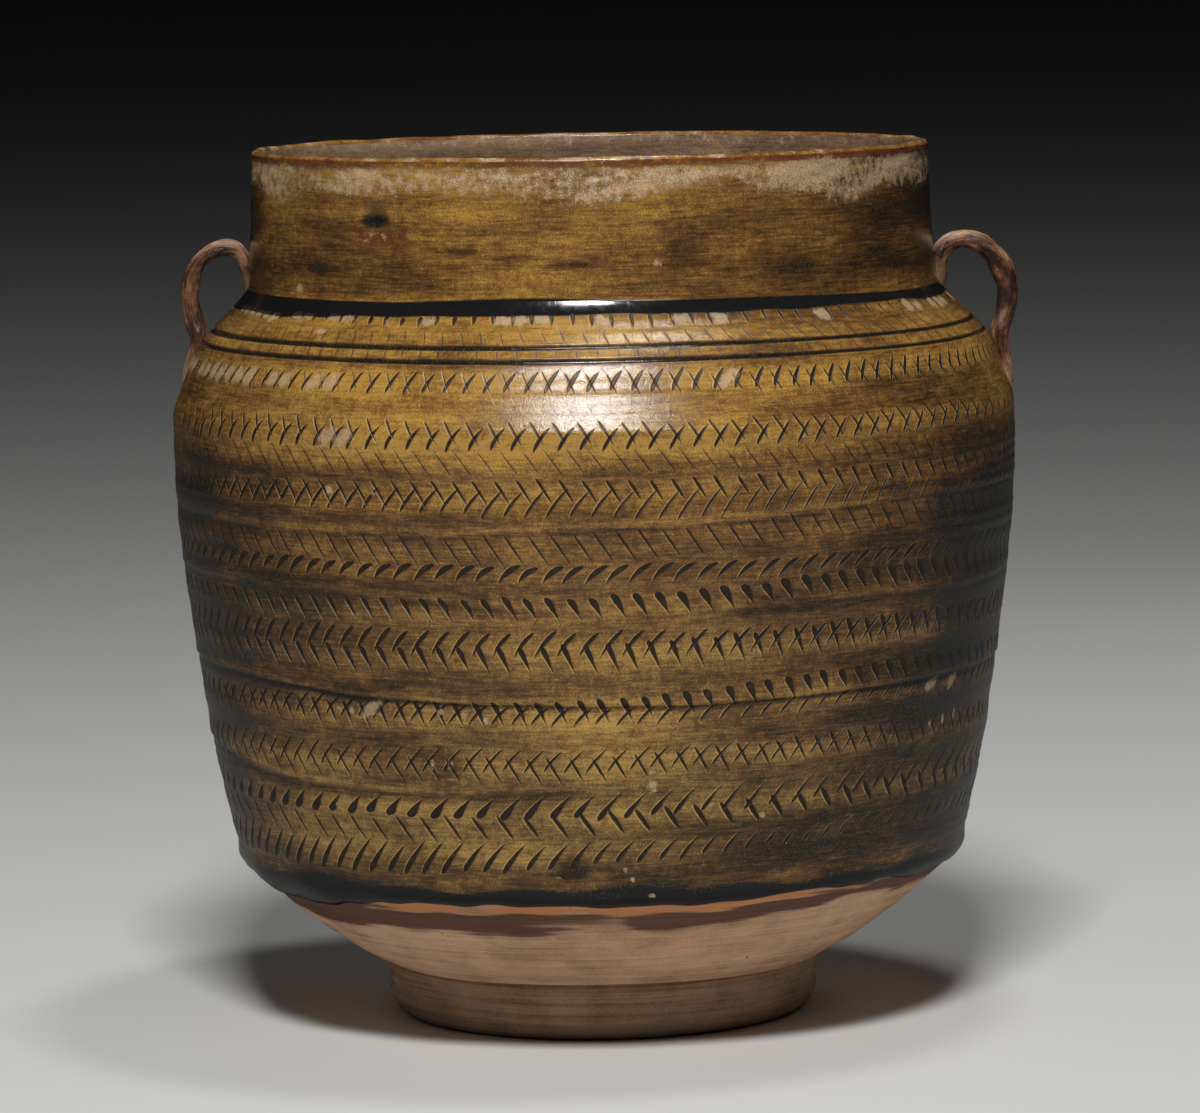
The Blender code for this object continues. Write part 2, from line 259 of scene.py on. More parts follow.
cuts = {
    # One row each: height at the left (-45), front and right (38 degrees); half length and
    # half width at the left and right; sideways run per millimetre of rise; strokes in the
    # round; how much fatter one end is; share of gaps where glaze crawled back, left and right
    "rising": [
        (189.8, 190.4, 190.5, 2.8, 2.9, 0.50, 0.60, 0.60, 126, 0.0, 0.95, 0.10),
        (175.2, 174.8, 175.6, 3.0, 3.0, 0.55, 0.50, 0.66, 124, 0.0, 0.1, 0.06),
        (159.3, 157.4, 157.6, 3.3, 4.2, 0.52, 0.36, 0.75, 126, 0.0, 0.0, 0.0),
        (139.4, 138.5, 138.9, 2.3, 2.5, 0.90, 0.75, 1.10, 124, 0.5, 0.0, 0.0),
        (120.3, 119.0, 118.9, 3.4, 3.6, 0.60, 0.50, 0.80, 124, 0.35, 0.0, 0.0),
        (100.4, 98.8, 100.6, 2.9, 2.2, 0.48, 0.52, 1.00, 124, 0.2, 0.05, 0.03),
        (86.7, 86.7, 89.2, 3.3, 3.2, 0.40, 0.42, 0.90, 122, 0.0, 0.03, 0.02),
        (72.2, 74.2, 78.2, 2.7, 4.6, 0.85, 0.34, 0.72, 100, -0.5, 0.0, 0.0),
        (57.6, 60.6, 64.8, 4.6, 2.5, 0.70, 0.46, 0.80, 112, -0.3, 0.0, 0.0),
    ],
    "falling": [
        (205.9, 205.9, 205.2, 1.1, 1.8, 0.60, 0.34, 0.10, 118, 0.4, 0.9, 0.42),
        (201.6, 201.6, 201.4, 1.8, 2.2, 0.17, 0.22, 0.55, 118, 0.0, 0.0, 0.0),
        (197.6, 197.6, 197.6, 1.3, 1.3, 0.18, 0.18, 0.20, 126, 0.0, 0.0, 0.0),
        (190.4, 190.0, 189.3, 2.7, 2.8, 0.22, 0.30, 0.50, 126, 0.0, 0.0, 0.0),
        (177.6, 176.6, 176.7, 3.0, 3.0, 0.34, 0.36, 0.60, 124, 0.1, 0.0, 0.0),
        (168.7, 169.2, 168.6, 4.2, 3.4, 0.22, 0.20, 0.70, 124, 0.0, 0.0, 0.0),
        (159.5, 161.3, 162.4, 3.7, 2.8, 0.36, 0.42, 0.60, 126, 0.2, 0.0, 0.0),
        (144.1, 145.0, 150.8, 4.6, 4.0, 0.30, 0.28, 0.62, 124, 0.2, 0.0, 0.0),
        (127.2, 129.2, 133.6, 3.5, 3.2, 0.42, 0.72, 0.50, 124, 0.65, 0.0, 0.0),
        (114.0, 115.1, 118.7, 3.6, 4.2, 0.54, 0.46, 0.40, 124, 0.55, 0.0, 0.0),
        (97.6, 100.4, 107.2, 3.9, 3.0, 0.38, 0.66, 0.42, 124, 0.62, 0.0, 0.0),
        (83.2, 84.4, 88.8, 3.7, 3.4, 0.34, 0.40, 0.55, 122, 0.2, 0.0, 0.0),
        (65.5, 69.0, 73.8, 3.7, 3.0, 0.30, 0.55, 0.48, 90, 0.1, 0.0, 0.0),
    ],
    "pitch": 14.0,       # millimetres for one step of the row number
    "stroke": 5.9,       # millimetres from stroke to stroke
    "zone": 5.6,         # millimetres above and below a row's middle that are its own at most
    "widen": 1.2,        # a stroke's mark is wider than its cut, by the glaze drawn off its edges
    "sway": 0.16,        # how far a row wanders up and down
    "seeds": {"rising": 31, "falling": 57},
}


def cutFields(turn, level, family):
    # The row number q, which runs one step per pitch within a row's zone and hurries
    # across the space between two zones; strokes along the row: count * turn / 2pi less
    # the stroke's slant; and each stroke's form
    rows = np.array(cuts[family])
    (left, front, right, longLeft, longRight, wideLeft, wideRight, lean, inRound, fat, crawledLeft,
     crawledRight) = rows.T
    middles = []
    for index in range(len(rows)):
        back = (left[index] + right[index]) / 2
        heights = [back, (back + left[index]) / 2, left[index], front[index], right[index],
                   (back + right[index]) / 2]
        sway = waves(turn, index * 1.0, cuts["seeds"][family] + index, 6, (3, 17))
        middles.append(roundAxis(turn, [-180, -110, -45, 0, 38, 110], heights) + cuts["sway"] * sway)
    middles = np.array(middles)
    nearHalf = 0.47 * (middles[:-1] - middles[1:])     # just under half the way to the next row
    zone = np.full(middles.shape, cuts["zone"])
    zone[:-1] = np.minimum(zone[:-1], nearHalf)
    zone[1:] = np.minimum(zone[1:], nearHalf)
    number = np.arange(len(rows))[:, None]
    steps = zone / cuts["pitch"]
    knotLevels = np.stack([middles + zone, middles - zone], 1).reshape(-1, middles.shape[1])
    knotValues = np.stack([number - steps, number + steps], 1).reshape(-1, middles.shape[1])
    q = knotValues[0] + (knotLevels[0] - level) / cuts["pitch"]
    for n in range(len(knotLevels) - 1):
        share = np.clip((knotLevels[n] - level) / (knotLevels[n] - knotLevels[n + 1]), 0, 1)
        q = np.where(level <= knotLevels[n],
                     knotValues[n] + share * (knotValues[n + 1] - knotValues[n]), q)
    q = np.where(level < knotLevels[-1],
                 knotValues[-1] + (knotLevels[-1] - level) / cuts["pitch"], q)
    # Beyond the first and last rows the number stays nearer to theirs than to the next
    q = np.clip(q, -0.45, len(rows) - 0.55)
    row = np.round(q).astype(int)
    below = (q - row) * cuts["pitch"]
    degrees = np.degrees(turn)
    notBehind = smoothStep(-180, -120, -degrees)
    toRight = smoothStep(-45, 38, degrees) * notBehind
    slant = lean[row] * (1 if family == "rising" else -1)
    strokes = inRound[row] * turn / math.tau + slant * below / cuts["stroke"] + 0.5 + 0.37 * row
    halfLength = longLeft[row] + (longRight[row] - longLeft[row]) * toRight
    halfWidth = wideLeft[row] + (wideRight[row] - wideLeft[row]) * toRight
    onward = smoothStep(-60, -28, degrees) * notBehind
    crawled = crawledLeft[row] + (crawledRight[row] - crawledLeft[row]) * onward
    crawled = crawled * (0.35 + 0.65 * inFront(degrees))
    return (np.stack([strokes, q, halfLength], -1),
            np.stack([halfWidth * cuts["widen"], fat[row], crawled], -1))


# Relief of the thrown wall

relief = {
    # Waves: height, seed, count, numbers round the axis and radians per millimetre of rise
    "rings": [(0.09, 3, 12, (0, 2), (0.25, 0.9)),      # broad throwing rings
              (0.03, 4, 14, (0, 2), (1.2, 2.6))],      # and fine ones
    "outOfRound": [(0.25, 5, 6, (2, 4), (0.0, 0.02))],
    # Angles and heights of the ledges that run round the wall, their step and their reach,
    # and the share of it that stays on the right
    "ledges": [
        ([-180, -100, -64, -30, 0, 25, 40, 56, 110],
         [105, 107, 106.9, 103.0, 101.8, 101.6, 102.7, 102.8, 104], 0.40, 4.0, 1.0),
        ([-180, -100, -69, -59, -49, -30, 0, 40, 110],
         [84, 84, 83, 79.4, 77.9, 76.2, 78.5, 82, 84], 0.30, 3.5, 0.0),
        ([-180, -100, -60, -30, 0, 24, 38, 58, 110],
         [134, 134, 133, 132, 127, 127.6, 128.8, 127.6, 131], 0.22, 4.0, 0.7),
        ([-180, -100, -62, -42, -21, -9, 0, 20, 44, 110],
         [152, 152, 149.6, 148.6, 148.8, 150.1, 150.8, 151.6, 155, 154], 0.10, 3.0, 1.0),
    ],
    # Height and extra radius on the shoulder's turn
    "turnOfShoulder": [(169, 0), (171.5, 0.10), (174, 0.50), (176.4, 0.95), (182, 0.30),
                       (186, -0.18), (190, -0.44), (195, -0.52), (199, 0), (202, 0)],
    "glazeBead": 0.40,      # in the corner below the collar
    # The double line round the shoulder's edge
    "lines": {"upper": 199.3, "lower": 195.8}, "lineHalfWidth": 0.55, "lineDepth": 0.7,
    "dents": [  # angle, height, half width, half height, depth in millimetres
        (-37.4, 233.6, 4.6, 2.4, -1.7), (-37.6, 238.4, 8.0, 1.6, 0.5), (-31.5, 233.5, 1.6, 6.0, 0.45),
        (-37.6, 228.6, 4.0, 2.0, 0.35), (-51.0, 217.8, 3.0, 1.6, -0.8), (-47.5, 216.0, 3.5, 1.0, 0.3),
        (7.3, 81.5, 1.7, 3.4, -0.5), (10.6, 222.0, 2.0, 1.5, -0.25), (19.3, 235.4, 0.9, 0.9, -0.7),
        (-6.4, 53.5, 1.5, 1.0, -0.4), (55, 160, 6, 9, 0.25), (-20, 205, 9, 2, 0.2),
    ],
}
shoulderTurn = smoothLine(relief["turnOfShoulder"], 8)


def ledgeLine(turn, index):
    # Height of a ledge: a smooth curve through its heights, with a small sway
    angles, heights, *_ = relief["ledges"][index]
    return roundAxis(turn, angles, heights, 5) + 0.15 * waves(turn, 0.0, 71 + index, 8, (4, 23))


def ledgeShare(turn, index):
    # How much of a ledge is left: all of it on the left, fading to its share on the right
    right = smoothStep(-20, 15, np.degrees(turn)) * smoothStep(-170, -120, -np.degrees(turn))
    return 1 - (1 - relief["ledges"][index][4]) * right


def lineWidth(turn):
    # Half width of the double line, which thins out to the right
    degrees = np.degrees(turn)
    return relief["lineHalfWidth"] * (1 - 0.28 * smoothStep(10, 45, degrees) * inFront(degrees))


def doubleLine(turn, level):
    # exp(-(d / halfWidth)⁴) for the distance d from each line
    sway = 0.12 * waves(turn, 0.0, 91, 5, (1, 5))
    return sum(np.exp(-((level - (height + sway)) / lineWidth(turn)) ** 4)
               for height in relief["lines"].values())


def wallRelief(turn, level):
    # Height above the true skin: rings, a wobble, ledges and dents. A ledge stands out by
    # its step just above its line and falls away over its reach.
    height = lumps(turn, level, relief["rings"] + relief["outOfRound"])
    for index, (_, _, step, reach, _) in enumerate(relief["ledges"]):
        above = level - ledgeLine(turn, index)
        step = step * ledgeShare(turn, index)
        height += step * np.where(above > 0, np.exp(-above / reach), 0)
        height += step * (smoothStep(-0.5, 0.1, above) - 1) * np.exp(-np.abs(above) / 2.2)
    # The shoulder's turn is a little crisper than the plain skin, most so in front
    extra = np.interp(level, shoulderTurn[:, 0], shoulderTurn[:, 1])
    height += extra * (0.4 + 0.6 * bell(np.degrees(turn), 0, 45))
    height += relief["glazeBead"] * bell(level, 209.2, 2.0)
    depth = relief["lineDepth"] * lineWidth(turn) / relief["lineHalfWidth"]
    return height - depth * doubleLine(turn, level) + ellipses(turn, level, 108, relief["dents"])


# Thickness and bareness of the glaze

coat = {
    "unevenness": [(0.05, 11, 10, (1, 6), (0.02, 0.12)), (0.035, 12, 12, (0, 3), (0.3, 1.1))],
    "sides": 0.10,          # thicker, darker glaze towards the handles: painted shade of the sides as seen from the front
    "lowerSideShade": 0.21, "lower": 0.14,     # more painted shade at the sides of the lower wall, and thicker glaze lower down
    "inLines": 0.62, "inPool": 1.5,        # in the double line, and below the collar
    "roll": (0.78, 0.30),   # in the roll above the turn, and thinning out above it
    "poolEdge": 207.2, "rollTop": 49.6,    # lower edge of the pool and top of the roll
    "bareShow": 0.72,       # share of the bare spots' strength
    # Bands of thicker or thinner glaze: height, half height, amount
    "bands": [(183, 9, -0.08), (140, 8, 0.05), (203.5, 3, -0.08)],
    # Broad clouds of thicker or thinner glaze: angle and height of the middle, half widths of both, amount.
    # They are partly the glaze's own tone and partly painted: the thick ones towards the sides paint shade,
    # the thin ones in front paint light.
    "cloudsAndPaintedLight": [
        (58, 152, 22, 36, 0.14), (46, 183, 14, 9, 0.22), (-64, 142, 15, 38, 0.17), (-58, 168, 16, 10, 0.10),
        (-34, 168, 10, 6, 0.20), (0, 169, 26, 8, -0.14), (32, 166, 14, 9, 0.15), (-42, 157, 13, 7, 0.12),
        (60, 110, 16, 26, 0.18), (-64, 112, 14, 18, 0.14), (-40, 92, 14, 5, 0.14), (-50, 103, 14, 6, 0.12),
        (0, 97, 14, 5, -0.20), (26, 62, 16, 8, 0.24), (-52, 222, 14, 10, 0.2), (52, 228, 12, 14, 0.16),
        (2, 223, 16, 3.5, 0.16), (-33, 161, 12, 5, 0.12), (13, 168, 7, 5, 0.16), (28, 180, 12, 7, 0.22),
        (-33, 181, 8, 5, 0.16), (-2, 175, 14, 4, -0.14), (-45, 161, 5, 4, 0.12), (30, 151, 8, 5, 0.15),
        (-9, 141, 8, 4, 0.13), (-28, 141, 5, 4, -0.12), (34, 135, 10, 5, 0.14), (23, 127, 10, 5, 0.16),
        (-57, 122, 13, 8, 0.16), (28, 117, 10, 6, 0.24), (64, 113, 9, 9, 0.16), (-29, 107, 5, 3.5, 0.22),
        (50, 106, 12, 5, 0.2), (14, 100, 7, 4, 0.24), (-11, 100, 5, 3, -0.16), (-1, 93, 11, 3.5, -0.22),
        (49, 92, 9, 5, 0.18), (-32, 88, 8, 5, 0.2), (17, 82, 8, 6, 0.14), (-55, 79, 14, 5, -0.18),
        (-32, 73, 12, 4, -0.22), (-2, 128, 16, 8, -0.12), (-4, 117, 30, 7, -0.12), (-48, 61, 24, 8, -0.18),
        (3, 80, 22, 6, 0.10), (40, 60, 14, 9, 0.12), (-68, 200, 16, 9, -0.22), (35, 200, 22, 9, 0.12),
        (66, 197, 14, 10, -0.18), (70, 228, 26, 28, 0.36), (-90, 228, 20, 30, 0.30)],
    # Depth and half width of the glaze gathered under each ledge
    "ledgePools": [(0.38, 0.5), (0.24, 1.7), (0.14, 0.9), (0.26, 0.3)],
    # Spots of the glaze: angle, height, half width, half height, strength
    # The dark spot at -37.6 degrees and 232.8 mm paints the shadow inside the collar's dent
    "dark": [(-23, 86, 7, 5, 0.22), (-4.5, 56.5, 5, 4.2, 0.32), (12, 83, 6, 4, -0.1),
             (-37, 104, 10, 4, 0.25), (-28, 215.5, 12, 2, 0.18), (-22, 224.4, 9, 1.0, 0.30),
             (-12, 222.6, 9, 1.0, 0.30), (-3, 220.7, 8, 1.0, 0.28), (-33, 226, 7, 8, 0.12),
             (-50, 219.3, 8, 2.0, 0.22), (-37.6, 232.8, 5.0, 1.8, 0.85), (24, 218, 16, 9, -0.12),
             (22, 207, 30, 5, 0.1), (-20, 229.5, 8, 1.2, 0.15)],
    "bare": [(-60, 204.6, 2.6, 1.6, 0.7), (-45.2, 202.6, 2.4, 0.9, 0.75), (-52, 205, 2, 1.2, 0.7),
             (7.3, 83.4, 1.2, 0.7, 1.0), (7.3, 79.3, 1.9, 2.6, 0.75), (-22.2, 100.2, 0.9, 1.2, 0.75),
             (-18.8, 99.5, 0.9, 1.3, 0.7), (-15.6, 98.0, 1.1, 1.5, 0.8), (-36.4, 99.4, 0.9, 1.3, 0.95),
             (-38.6, 99.8, 0.7, 1.2, 0.9), (-24.0, 85.4, 1.1, 2.0, 0.7), (-21.4, 85.6, 1.3, 1.8, 0.65),
             (-37.1, 160.6, 1.0, 1.3, 1.3), (3.5, 55.8, 0.6, 0.8, 1.3), (4.5, 53.1, 0.6, 0.9, 1.3),
             (7.6, 48.6, 1.2, 0.5, 1.2), (23.8, 69.7, 0.7, 1.1, 1.3), (-6.4, 53.7, 0.8, 0.5, 1.0),
             (10.6, 221.0, 1.9, 2.0, 0.62), (-56, 213.2, 2.6, 1.5, 0.9), (-38.0, 229.4, 4.2, 1.5, 0.55),
             (-35.4, 228.2, 1.6, 1.6, 0.45), (55, 89.4, 0.9, 1.9, 0.8), (58.5, 90, 0.9, 1.9, 0.85),
             (62, 90.6, 0.9, 1.9, 0.85), (-41, 72.4, 1.6, 2.2, 0.5), (-30, 160, 0.8, 1.0, 0.6),
             (-39.2, 227.2, 2.6, 0.9, 0.55), (66, 201, 14, 6, 0.24), (72, 186, 3, 7, 0.4),
             (-66, 203, 9, 4, 0.35)],
}


def wallCoat(turn, level):
    # Glaze thickness above the usual, bare clay and iron red, as smooth fields
    degrees = np.degrees(turn)
    pool = lumps(turn, level, coat["unevenness"])
    # Painted shade: the glaze thickens and darkens towards both sides as seen from the front, less so
    # behind
    sides = (smoothStep(30, 75, degrees) + smoothStep(-35, -80, degrees)
             - smoothStep(95, 150, np.abs(degrees)))
    lower = smoothStep(176, 156, level) * smoothStep(50, 56, level)
    pool += sides * (coat["sides"] + coat["lowerSideShade"] * lower) + coat["lower"] * lower
    for centre, halfHeight, amount in coat["bands"]:
        pool += amount * bell(level, centre, halfHeight)
    # Clouds: partly glaze tone, partly painted shade at the sides and painted light in front
    for angle, centre, halfAngle, halfHeight, amount in coat["cloudsAndPaintedLight"]:
        pool += amount * bell(degrees, angle, halfAngle) * bell(level, centre, halfHeight)
    for index, (depth, width) in enumerate(coat["ledgePools"]):
        above = level - ledgeLine(turn, index)
        gathered = depth * bell(above, -0.3 - width / 2, width) - 0.14 * bell(above, 1.3, 1.1)
        pool += gathered * ledgeShare(turn, index)
    # The dark spots include a painted shadow in the collar's dent
    pool += coat["inLines"] * doubleLine(turn, level) + ellipses(turn, level, 114, coat["dark"])
    # The thick roll of glaze above the turn
    full, thinning = coat["roll"]
    full = full + 0.16 * waves(turn, level, 24, 12, (2, 22), (0.2, 1.4))
    full += 0.12 * smoothStep(-10, 30, degrees) * inFront(degrees)
    above = level - coat["rollTop"] - 0.7 * waves(turn, 0.0, 21, 9, (1, 22))
    pool += thinning * smoothStep(5.0, 0.0, above) + full * smoothStep(0.8, -0.8, above)
    # The pool at the foot of the collar, whose lower edge is brushed and whose upper edge
    # sinks towards both sides
    edge = (coat["poolEdge"] + 0.25 * waves(turn, 0.0, 23, 12, (4, 40))
            - (1.9 * smoothStep(-33, -58, degrees) + 0.5 * smoothStep(50, 75, degrees))
            * inFront(degrees))
    sunk = (1.2 * smoothStep(-10, 12, degrees) + 1.5 * smoothStep(20, 70, degrees)
            + 1.4 * smoothStep(-8, -38, degrees))
    brim = 210.6 + (1.0 - sunk) * inFront(degrees)
    pool += (coat["inPool"] * smoothStep(edge - 0.25, edge + 0.35, level)
             * smoothStep(0.5, -0.3, level - brim))
    bare = coat["bareShow"] * ellipses(turn, level, 114, coat["bare"])
    iron = 0.12 * bell(level, 52.7, 0.6)
    return pool, bare, iron


print("outline, relief and rows are set")

# Materials


def addNode(tree, kind, *inputs, stops=(), **settings):
    # Adds one shader node and gives back its outputs. Its kind may name its operation too.
    # Inputs are values, hex colours or outputs of other nodes, in order or in a dictionary
    # by socket. Stops are a ramp's positions and colours.
    kind, *operation = kind.split()
    node = tree.nodes.new("ShaderNode" + kind)
    if operation:
        node.operation = operation[0]
    for key, value in settings.items():
        setattr(node, key, value)
    bySocket = inputs[0] if inputs and isinstance(inputs[0], dict) else dict(enumerate(inputs))
    for socket, value in bySocket.items():
        if isinstance(value, bpy.types.NodeSocket):
            tree.links.new(value, node.inputs[socket])
        else:
            node.inputs[socket].default_value = linearColour(value) if isinstance(value, str) else value
    for number, (position, hexText) in enumerate(stops):
        ramp = node.color_ramp.elements
        element = ramp[number] if number < len(ramp) else ramp.new(position)
        element.position = position
        element.color = linearColour(hexText)
    return node.outputs


def startMaterial(name, noises):
    # Gives back the material, what adds a node to it, the place on the piece, the three parts
    # of the coat field, and its noises, each of which has its waves per metre along x, y and z,
    # its detail and its roughness
    material = bpy.data.materials.new(name)
    material.use_nodes = True
    material.node_tree.nodes.clear()
    add = partial(addNode, material.node_tree)
    place = add("TexCoord")["Object"]
    field = add("SeparateXYZ", add("Attribute", attribute_name="coat")["Vector"]).values()
    noises = [add("TexNoise", {"Vector": add("VectorMath MULTIPLY", place, size)[0],
                               "Scale": 1.0, "Detail": detail, "Roughness": rough})["Fac"]
              for size, detail, rough in noises]
    return material, add, place, field, noises


def finishMaterial(add, colour, rough, height, ior):
    # The height of the bump is in millimetres
    bump = add("Bump", {"Height": height, "Distance": millimetre, "Strength": 1.0})[0]
    surface = add("BsdfPrincipled", {"Base Color": colour, "Roughness": rough, "Normal": bump,
                                     "IOR": ior})[0]
    add("OutputMaterial", surface)


strokeValues = {
    "slip": 0.25,               # a stroke sits up to this much higher or lower in its row
    "stretch": (0.88, 0.24),    # and has at least this share of its length, and up to this more
    "shift": (-0.56, 0.12),     # and stands this far aside, as shares of the stroke distance
    "bow": {"rising": -0.45, "falling": 0.05},     # how far its ends bend aside
    "fray": 0.26,               # how far the grain breaks up its sides
    "grooveEdge": (-0.08, 0.30), "gatheredEdge": (-0.65, 0.1),     # from its side inwards
    "fine": (0.20, 0.55),       # half widths from which a stroke is shallow and is deep
    "burr": (4.0, 0.9),         # one over the burr's half width, and its place beside the groove
    "patchEdge": (4.0, 3.2),    # where a patch ends, and how the noises break up its edge
    "patchGrain": 2.6, "patchMottle": 3.0,
}


def addCuts(add, family, grain, mottle):
    # One family of cut strokes. A stroke's own place is (x, t) across and along it, and its
    # half width is w sqrt(1 - t²)(1 - fat t)². Returns the groove, the glaze that gathers
    # round it, the burr beside it, the bare patches between strokes, the row's own land and
    # the groove's depth, which is small in a fine stroke.
    values = strokeValues
    (run, number, reach), (wide, fat, patchShare) = [
        add("SeparateXYZ", add("Attribute", attribute_name=family + part)["Vector"]).values()
        for part in ("", "Form")]
    row = add("Math ROUND", number)[0]
    cell = add("Math FLOOR", run)[0]
    key = add("CombineXYZ", cell, row, 7.0 if family == "rising" else 3.0)[0]
    dice = add("SeparateXYZ", add("TexWhiteNoise", {"Vector": key})["Color"]).values()
    slip, stretch, shift = [
        add("Math MULTIPLY_ADD", die, share, least)[0]
        for die, share, least in zip(dice, (2 * values["slip"], values["stretch"][1], values["shift"][1]),
                                     (-values["slip"], values["stretch"][0], values["shift"][0]))]
    # Along the stroke: millimetres below its middle over its half length
    offRow = add("Math SUBTRACT", number, row)[0]
    below = add("Math MULTIPLY_ADD", offRow, cuts["pitch"], slip)[0]
    length = add("Math MULTIPLY", reach, stretch)[0]
    t = add("Math DIVIDE", below, length)[0]
    squared = add("Math MULTIPLY", t, t)[0]
    # Across the stroke: millimetres from its middle line, which bows and frays
    part = add("Math FRACT", run)[0]
    aside = add("Math ADD", part, shift)[0]
    x = add("Math MULTIPLY_ADD", aside, cuts["stroke"], -0.12)[0]
    for bend, share in ((squared, values["bow"][family]), (grain, values["fray"])):
        x = add("Math MULTIPLY_ADD", bend, share, x)[0]
    rest = add("Math SUBTRACT", 1.0, squared, use_clamp=True)[0]
    arch = add("Math POWER", rest, 0.5)[0]
    fatness = add("Math MULTIPLY", fat, t)[0]
    taper = add("Math SUBTRACT", 1.0, fatness)[0]
    width = wide
    for factor in (arch, taper, taper):
        width = add("Math MULTIPLY", width, factor)[0]
    away = add("Math ABSOLUTE", x)[0]
    within = add("Math SUBTRACT", width, away)[0]
    groove, gathered = [add("MapRange", within, *values[edge], interpolation_type="SMOOTHSTEP")[0]
                        for edge in ("grooveEdge", "gatheredEdge")]
    gathered = add("Math MULTIPLY", gathered, arch)[0]
    # The burr is a low ridge just left of the groove: 1 - (distance / its half width)²
    left = add("Math ADD", x, width)[0]
    left = add("Math MULTIPLY_ADD", left, *values["burr"])[0]
    left = add("Math MULTIPLY", left, left)[0]
    burr = add("Math SUBTRACT", 1.0, left, use_clamp=True)[0]
    coarse = add("MapRange", wide, *values["fine"], 0.1, 1.0)[0]
    for factor in (arch, coarse):
        burr = add("Math MULTIPLY", burr, factor)[0]
    # Patches: an ellipse in the gap between two strokes, for the share of gaps that have one
    near = add("Math ROUND", run)[0]
    gapKey = add("CombineXYZ", near, row, 1.5)[0]
    gapDie = add("TexWhiteNoise", {"Vector": gapKey})["Value"]
    allowed = add("Math LESS_THAN", gapDie, patchShare)[0]
    fromGap = add("Math SUBTRACT", run, near)[0]
    fromGap = add("Math MULTIPLY", fromGap, cuts["stroke"] / 2.9)[0]
    outside = add("Math MULTIPLY", fromGap, fromGap)[0]
    for part, share in ((squared, 1.1), (grain, values["patchGrain"]), (mottle, values["patchMottle"])):
        outside = add("Math MULTIPLY_ADD", part, share, outside)[0]
    patch = add("MapRange", outside, *values["patchEdge"], interpolation_type="SMOOTHSTEP")[0]
    patch = add("Math MULTIPLY", patch, allowed)[0]
    # Along a row the glaze lies thinner on the land between the strokes
    ridge = add("Math MULTIPLY_ADD", squared, -0.4, 1.0, use_clamp=True)[0]
    sunk = add("Math MULTIPLY", groove, coarse)[0]
    return groove, gathered, burr, patch, ridge, sunk


glazeValues = {
    "ior": 1.56,                     # an iron glaze
    "thin": "#b88a2e", "usual": "#8e6522", "brown": "#68431c", "thick": "#2f1d0e", "black": "#17181a",
    "groove": "#241b10", "clay": "#93754f", "clayPale": "#d8ba96", "iron": "#6b331c", "olive": "#83743a",
    "noises": [
        ((120, 120, 1500), 5.0, 0.6),       # brush marks 8 mm long, 0.7 mm apart
        ((40, 40, 90), 4.0, 0.55),          # brushed patches 25 mm by 11 mm
        ((2300, 2300, 2300), 3.0, 0.65),    # crystals and clay grit 0.4 mm across
        ((420, 420, 420), 4.0, 0.6),        # clouds 2.4 mm across
    ],
    "uneven": (0.85, 0.75, 1.25, 0.50),     # what each noise adds to the thickness
    "offset": (-1.65, 0.43),                # the noises' middle, and where the usual glaze lies
    "relief": (0.045, 0.0, 0.07, 0.06),     # and to the height, in millimetres
    "calm": (0.50, 1.05),                   # thickness from which a pool lies calm
    "roughness": (0.12, 0.26), "clayRoughness": 0.75,
    "cutDepth": 0.30, "burrHeight": 0.05,   # millimetres
    "clayShow": 0.74,                       # how bare the bare places are
    "saturation": (0.89, 0.95),             # at 70 mm and at 210 mm
}


